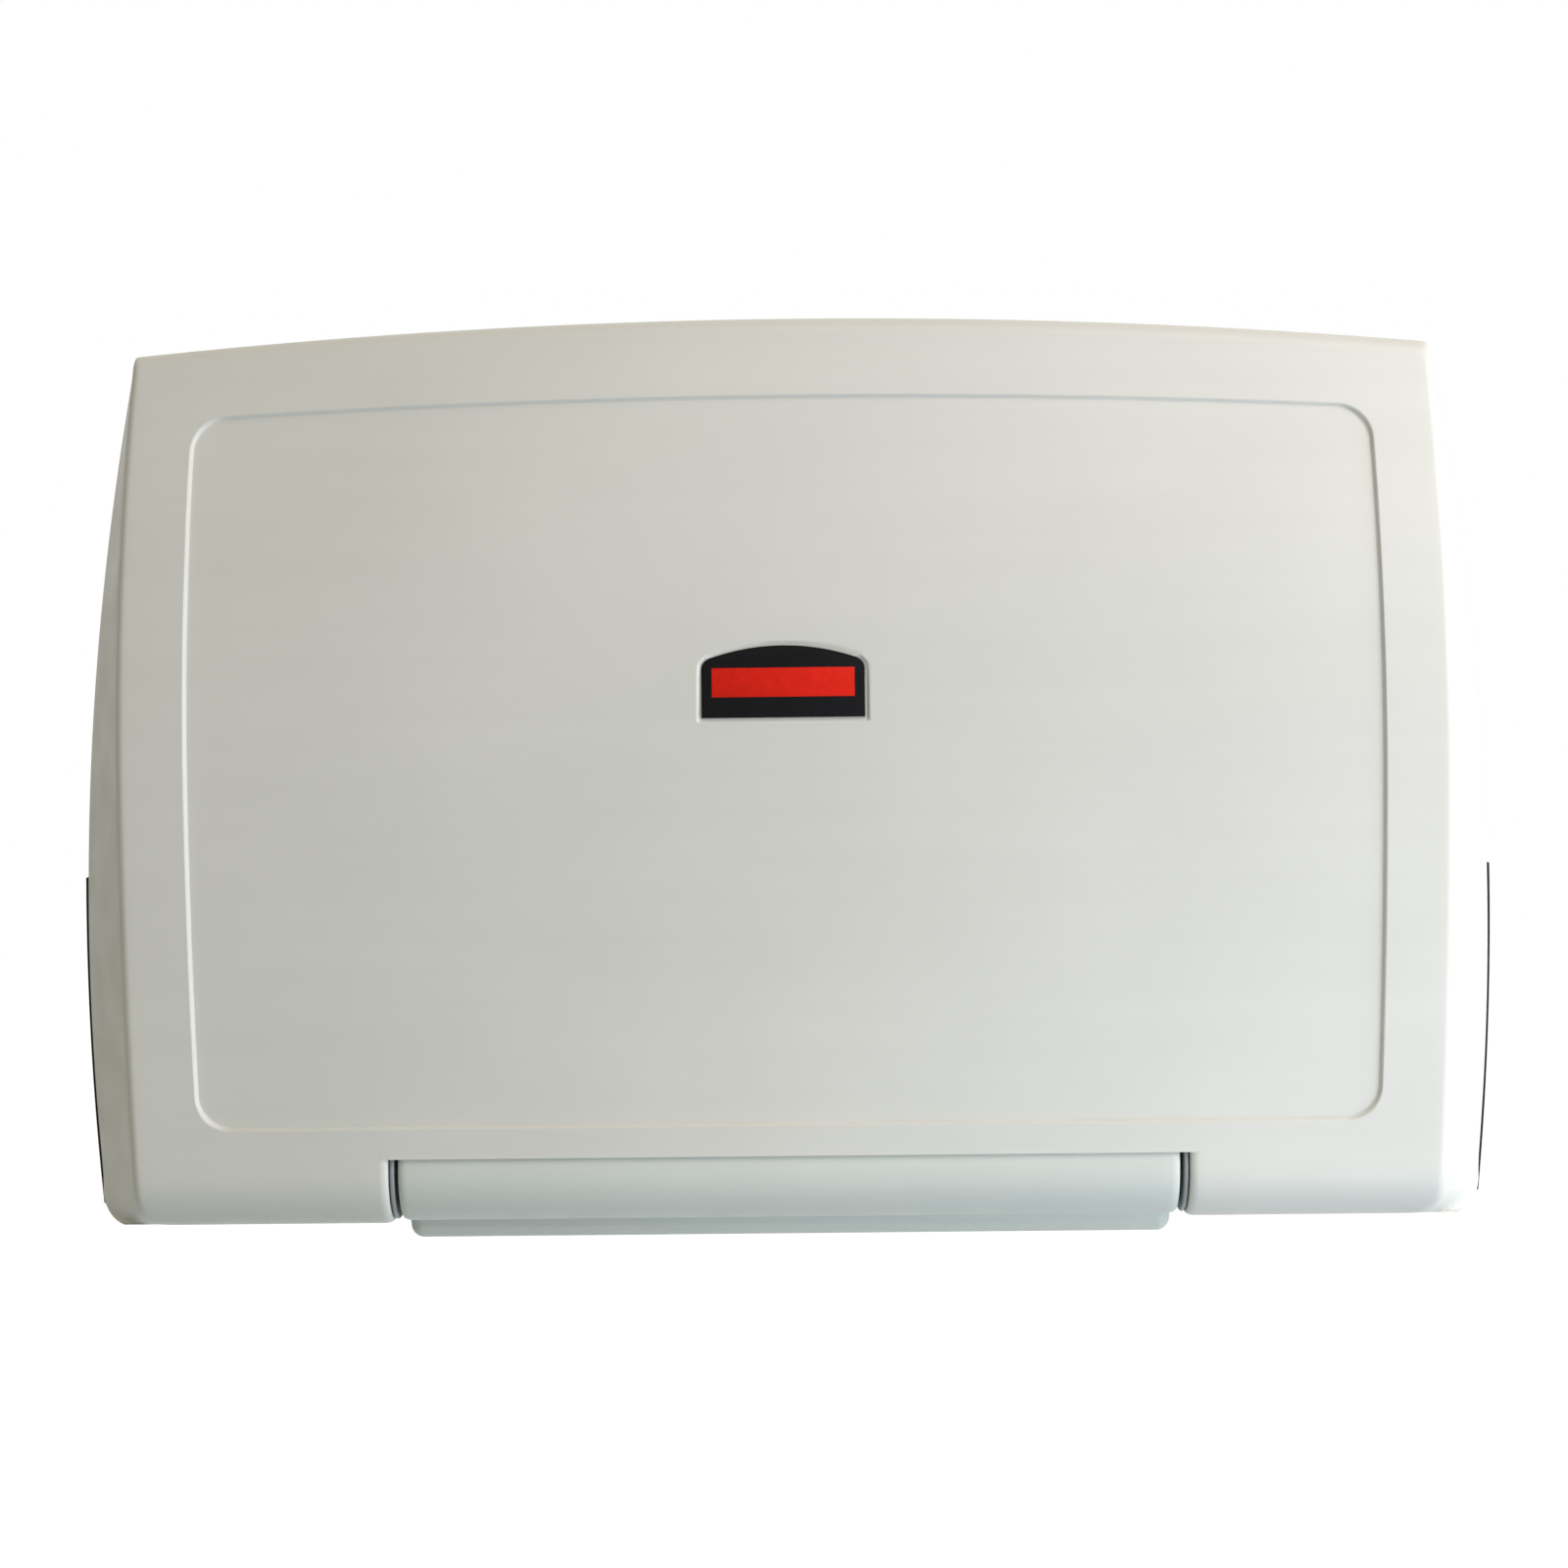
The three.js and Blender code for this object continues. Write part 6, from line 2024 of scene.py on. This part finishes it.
MIDDLE = (0.0, -0.05, 0.23)
FOOT = (0.1, -0.08, 0.05)
LAMPS = (
    Lamp("window", (1.55, -1.15, 0.80), MIDDLE, 0.8, 13.6, (0.98, 0.965, 1.0)),
    Lamp("skylight", (1.0, -0.95, 1.45), MIDDLE, 0.8, 8.8, (1.0, 0.92, 0.90)),
    Lamp("ceiling", (0.2, -1.3, 2.3), FOOT, 0.8, 3.5, (0.95, 0.98, 1.0)),
    Lamp("side", (1.6, -0.40, 0.15), MIDDLE, 0.7, 7.4, (0.92, 0.94, 1.0)),
    Lamp("floor_light", (0.75, -0.85, -0.70), FOOT, 1.0, 14.2, (0.76, 0.89, 1.0)),
)


@dataclass
class Studio:
    """Floor, backdrop, lamps and the camera at the photograph's viewing angle."""

    image_pixels: float = 1600.0
    focal_pixels: float = 2992.7
    sensor: float = 36.0
    eye: Place = (0.0157, -1.800, 0.2499)
    yaw: float = math.radians(0.533)
    pitch: float = math.radians(-0.858)
    roll: float = math.radians(-0.645)
    white: Color = (1.0, 1.0, 1.0)
    ambient: float = 0.5
    light_above: Color = (0.970, 0.905, 0.680)
    light_below: Color = (0.012, 0.014, 0.016)
    horizon: Pair = (-0.6, 0.6)
    floor_z: float = -0.75
    floor_reach: float = 12.0
    floor_color: Color = (0.40, 0.43, 0.45)
    floor_glow: float = 0.86

    def camera(self) -> None:
        """Places the camera."""
        data = bpy.data.cameras.new("camera")
        data.sensor_width = self.sensor
        data.lens = self.focal_pixels / self.image_pixels * self.sensor
        camera = bpy.data.objects.new("camera", data)
        level = Matrix.Rotation(math.pi / 2 + self.pitch, 4, "X")
        turn = Matrix.Rotation(self.yaw, 4, "Z")
        roll = Matrix.Rotation(self.roll, 4, "Z")
        camera.matrix_world = Matrix.Translation(self.eye) @ turn @ level @ roll
        bpy.context.scene.collection.objects.link(camera)
        bpy.context.scene.camera = camera

    def world(self) -> None:
        """Sets up a white backdrop that lights the object softly, warm from above and hardly from below."""
        world = bpy.data.worlds.new("backdrop")
        world.use_nodes = True
        nodes = Nodes(world.node_tree)
        direction = nodes.add("TexCoord", {}).outputs["Generated"]
        height = nodes.add("SeparateXYZ", {0: direction}).outputs[2]
        share = nodes.remap(height, source=self.horizon, target=(0.0, 1.0))
        tint = nodes.blend(share, opaque(self.light_below), opaque(self.light_above))
        ambient = nodes.add("Background", {"Color": tint, "Strength": self.ambient}).outputs[0]
        backdrop = nodes.add("Background", {"Color": opaque(self.white), "Strength": 1.0}).outputs[0]
        mix = nodes.add("MixShader", {0: nodes.seen_share(), 1: ambient, 2: backdrop})
        nodes.add("OutputWorld", {"Surface": mix.outputs[0]})
        bpy.context.scene.world = world

    def floor(self) -> None:
        """Adds a pale floor below the station that keeps its shadow."""
        mesh = bmesh.new()
        bmesh.ops.create_grid(mesh, x_segments=4, y_segments=4, size=self.floor_reach)
        bmesh.ops.translate(mesh, vec=UP * self.floor_z, verts=mesh.verts[:])
        data = bpy.data.meshes.new("floor")
        mesh.to_mesh(data)
        mesh.free()
        nodes = Surface("floor")
        glow = nodes.compute("MULTIPLY", nodes.seen_share(), self.floor_glow)
        nodes.shade(Base_Color=opaque(self.floor_color), Roughness=0.9, Specular_IOR_Level=0.0)
        nodes.shade(Emission_Color=opaque(self.white), Emission_Strength=glow)
        data.materials.append(nodes.material)
        floor = bpy.data.objects.new("floor", data)
        bpy.context.scene.collection.objects.link(floor)

    def build(self) -> None:
        """Sets up the whole studio."""
        bpy.context.scene.view_settings.view_transform = "Standard"
        self.camera()
        self.world()
        self.floor()
        for lamp in LAMPS:
            lamp.build()


def main() -> None:
    """Builds every sub-assembly in order."""
    logging.basicConfig(level=logging.INFO, format="%(name)s: %(message)s")
    dress_solids()
    SHELL.build()
    BADGE.build()
    ChangingTray().build()
    WallPanel().build()
    HingeBarrel().build()
    WallTrim().build()
    COVER.build()
    BagHook().build()
    CrossScrews().build()
    Belt().build()
    Studio().build()


if __name__ == "__main__":
    main()
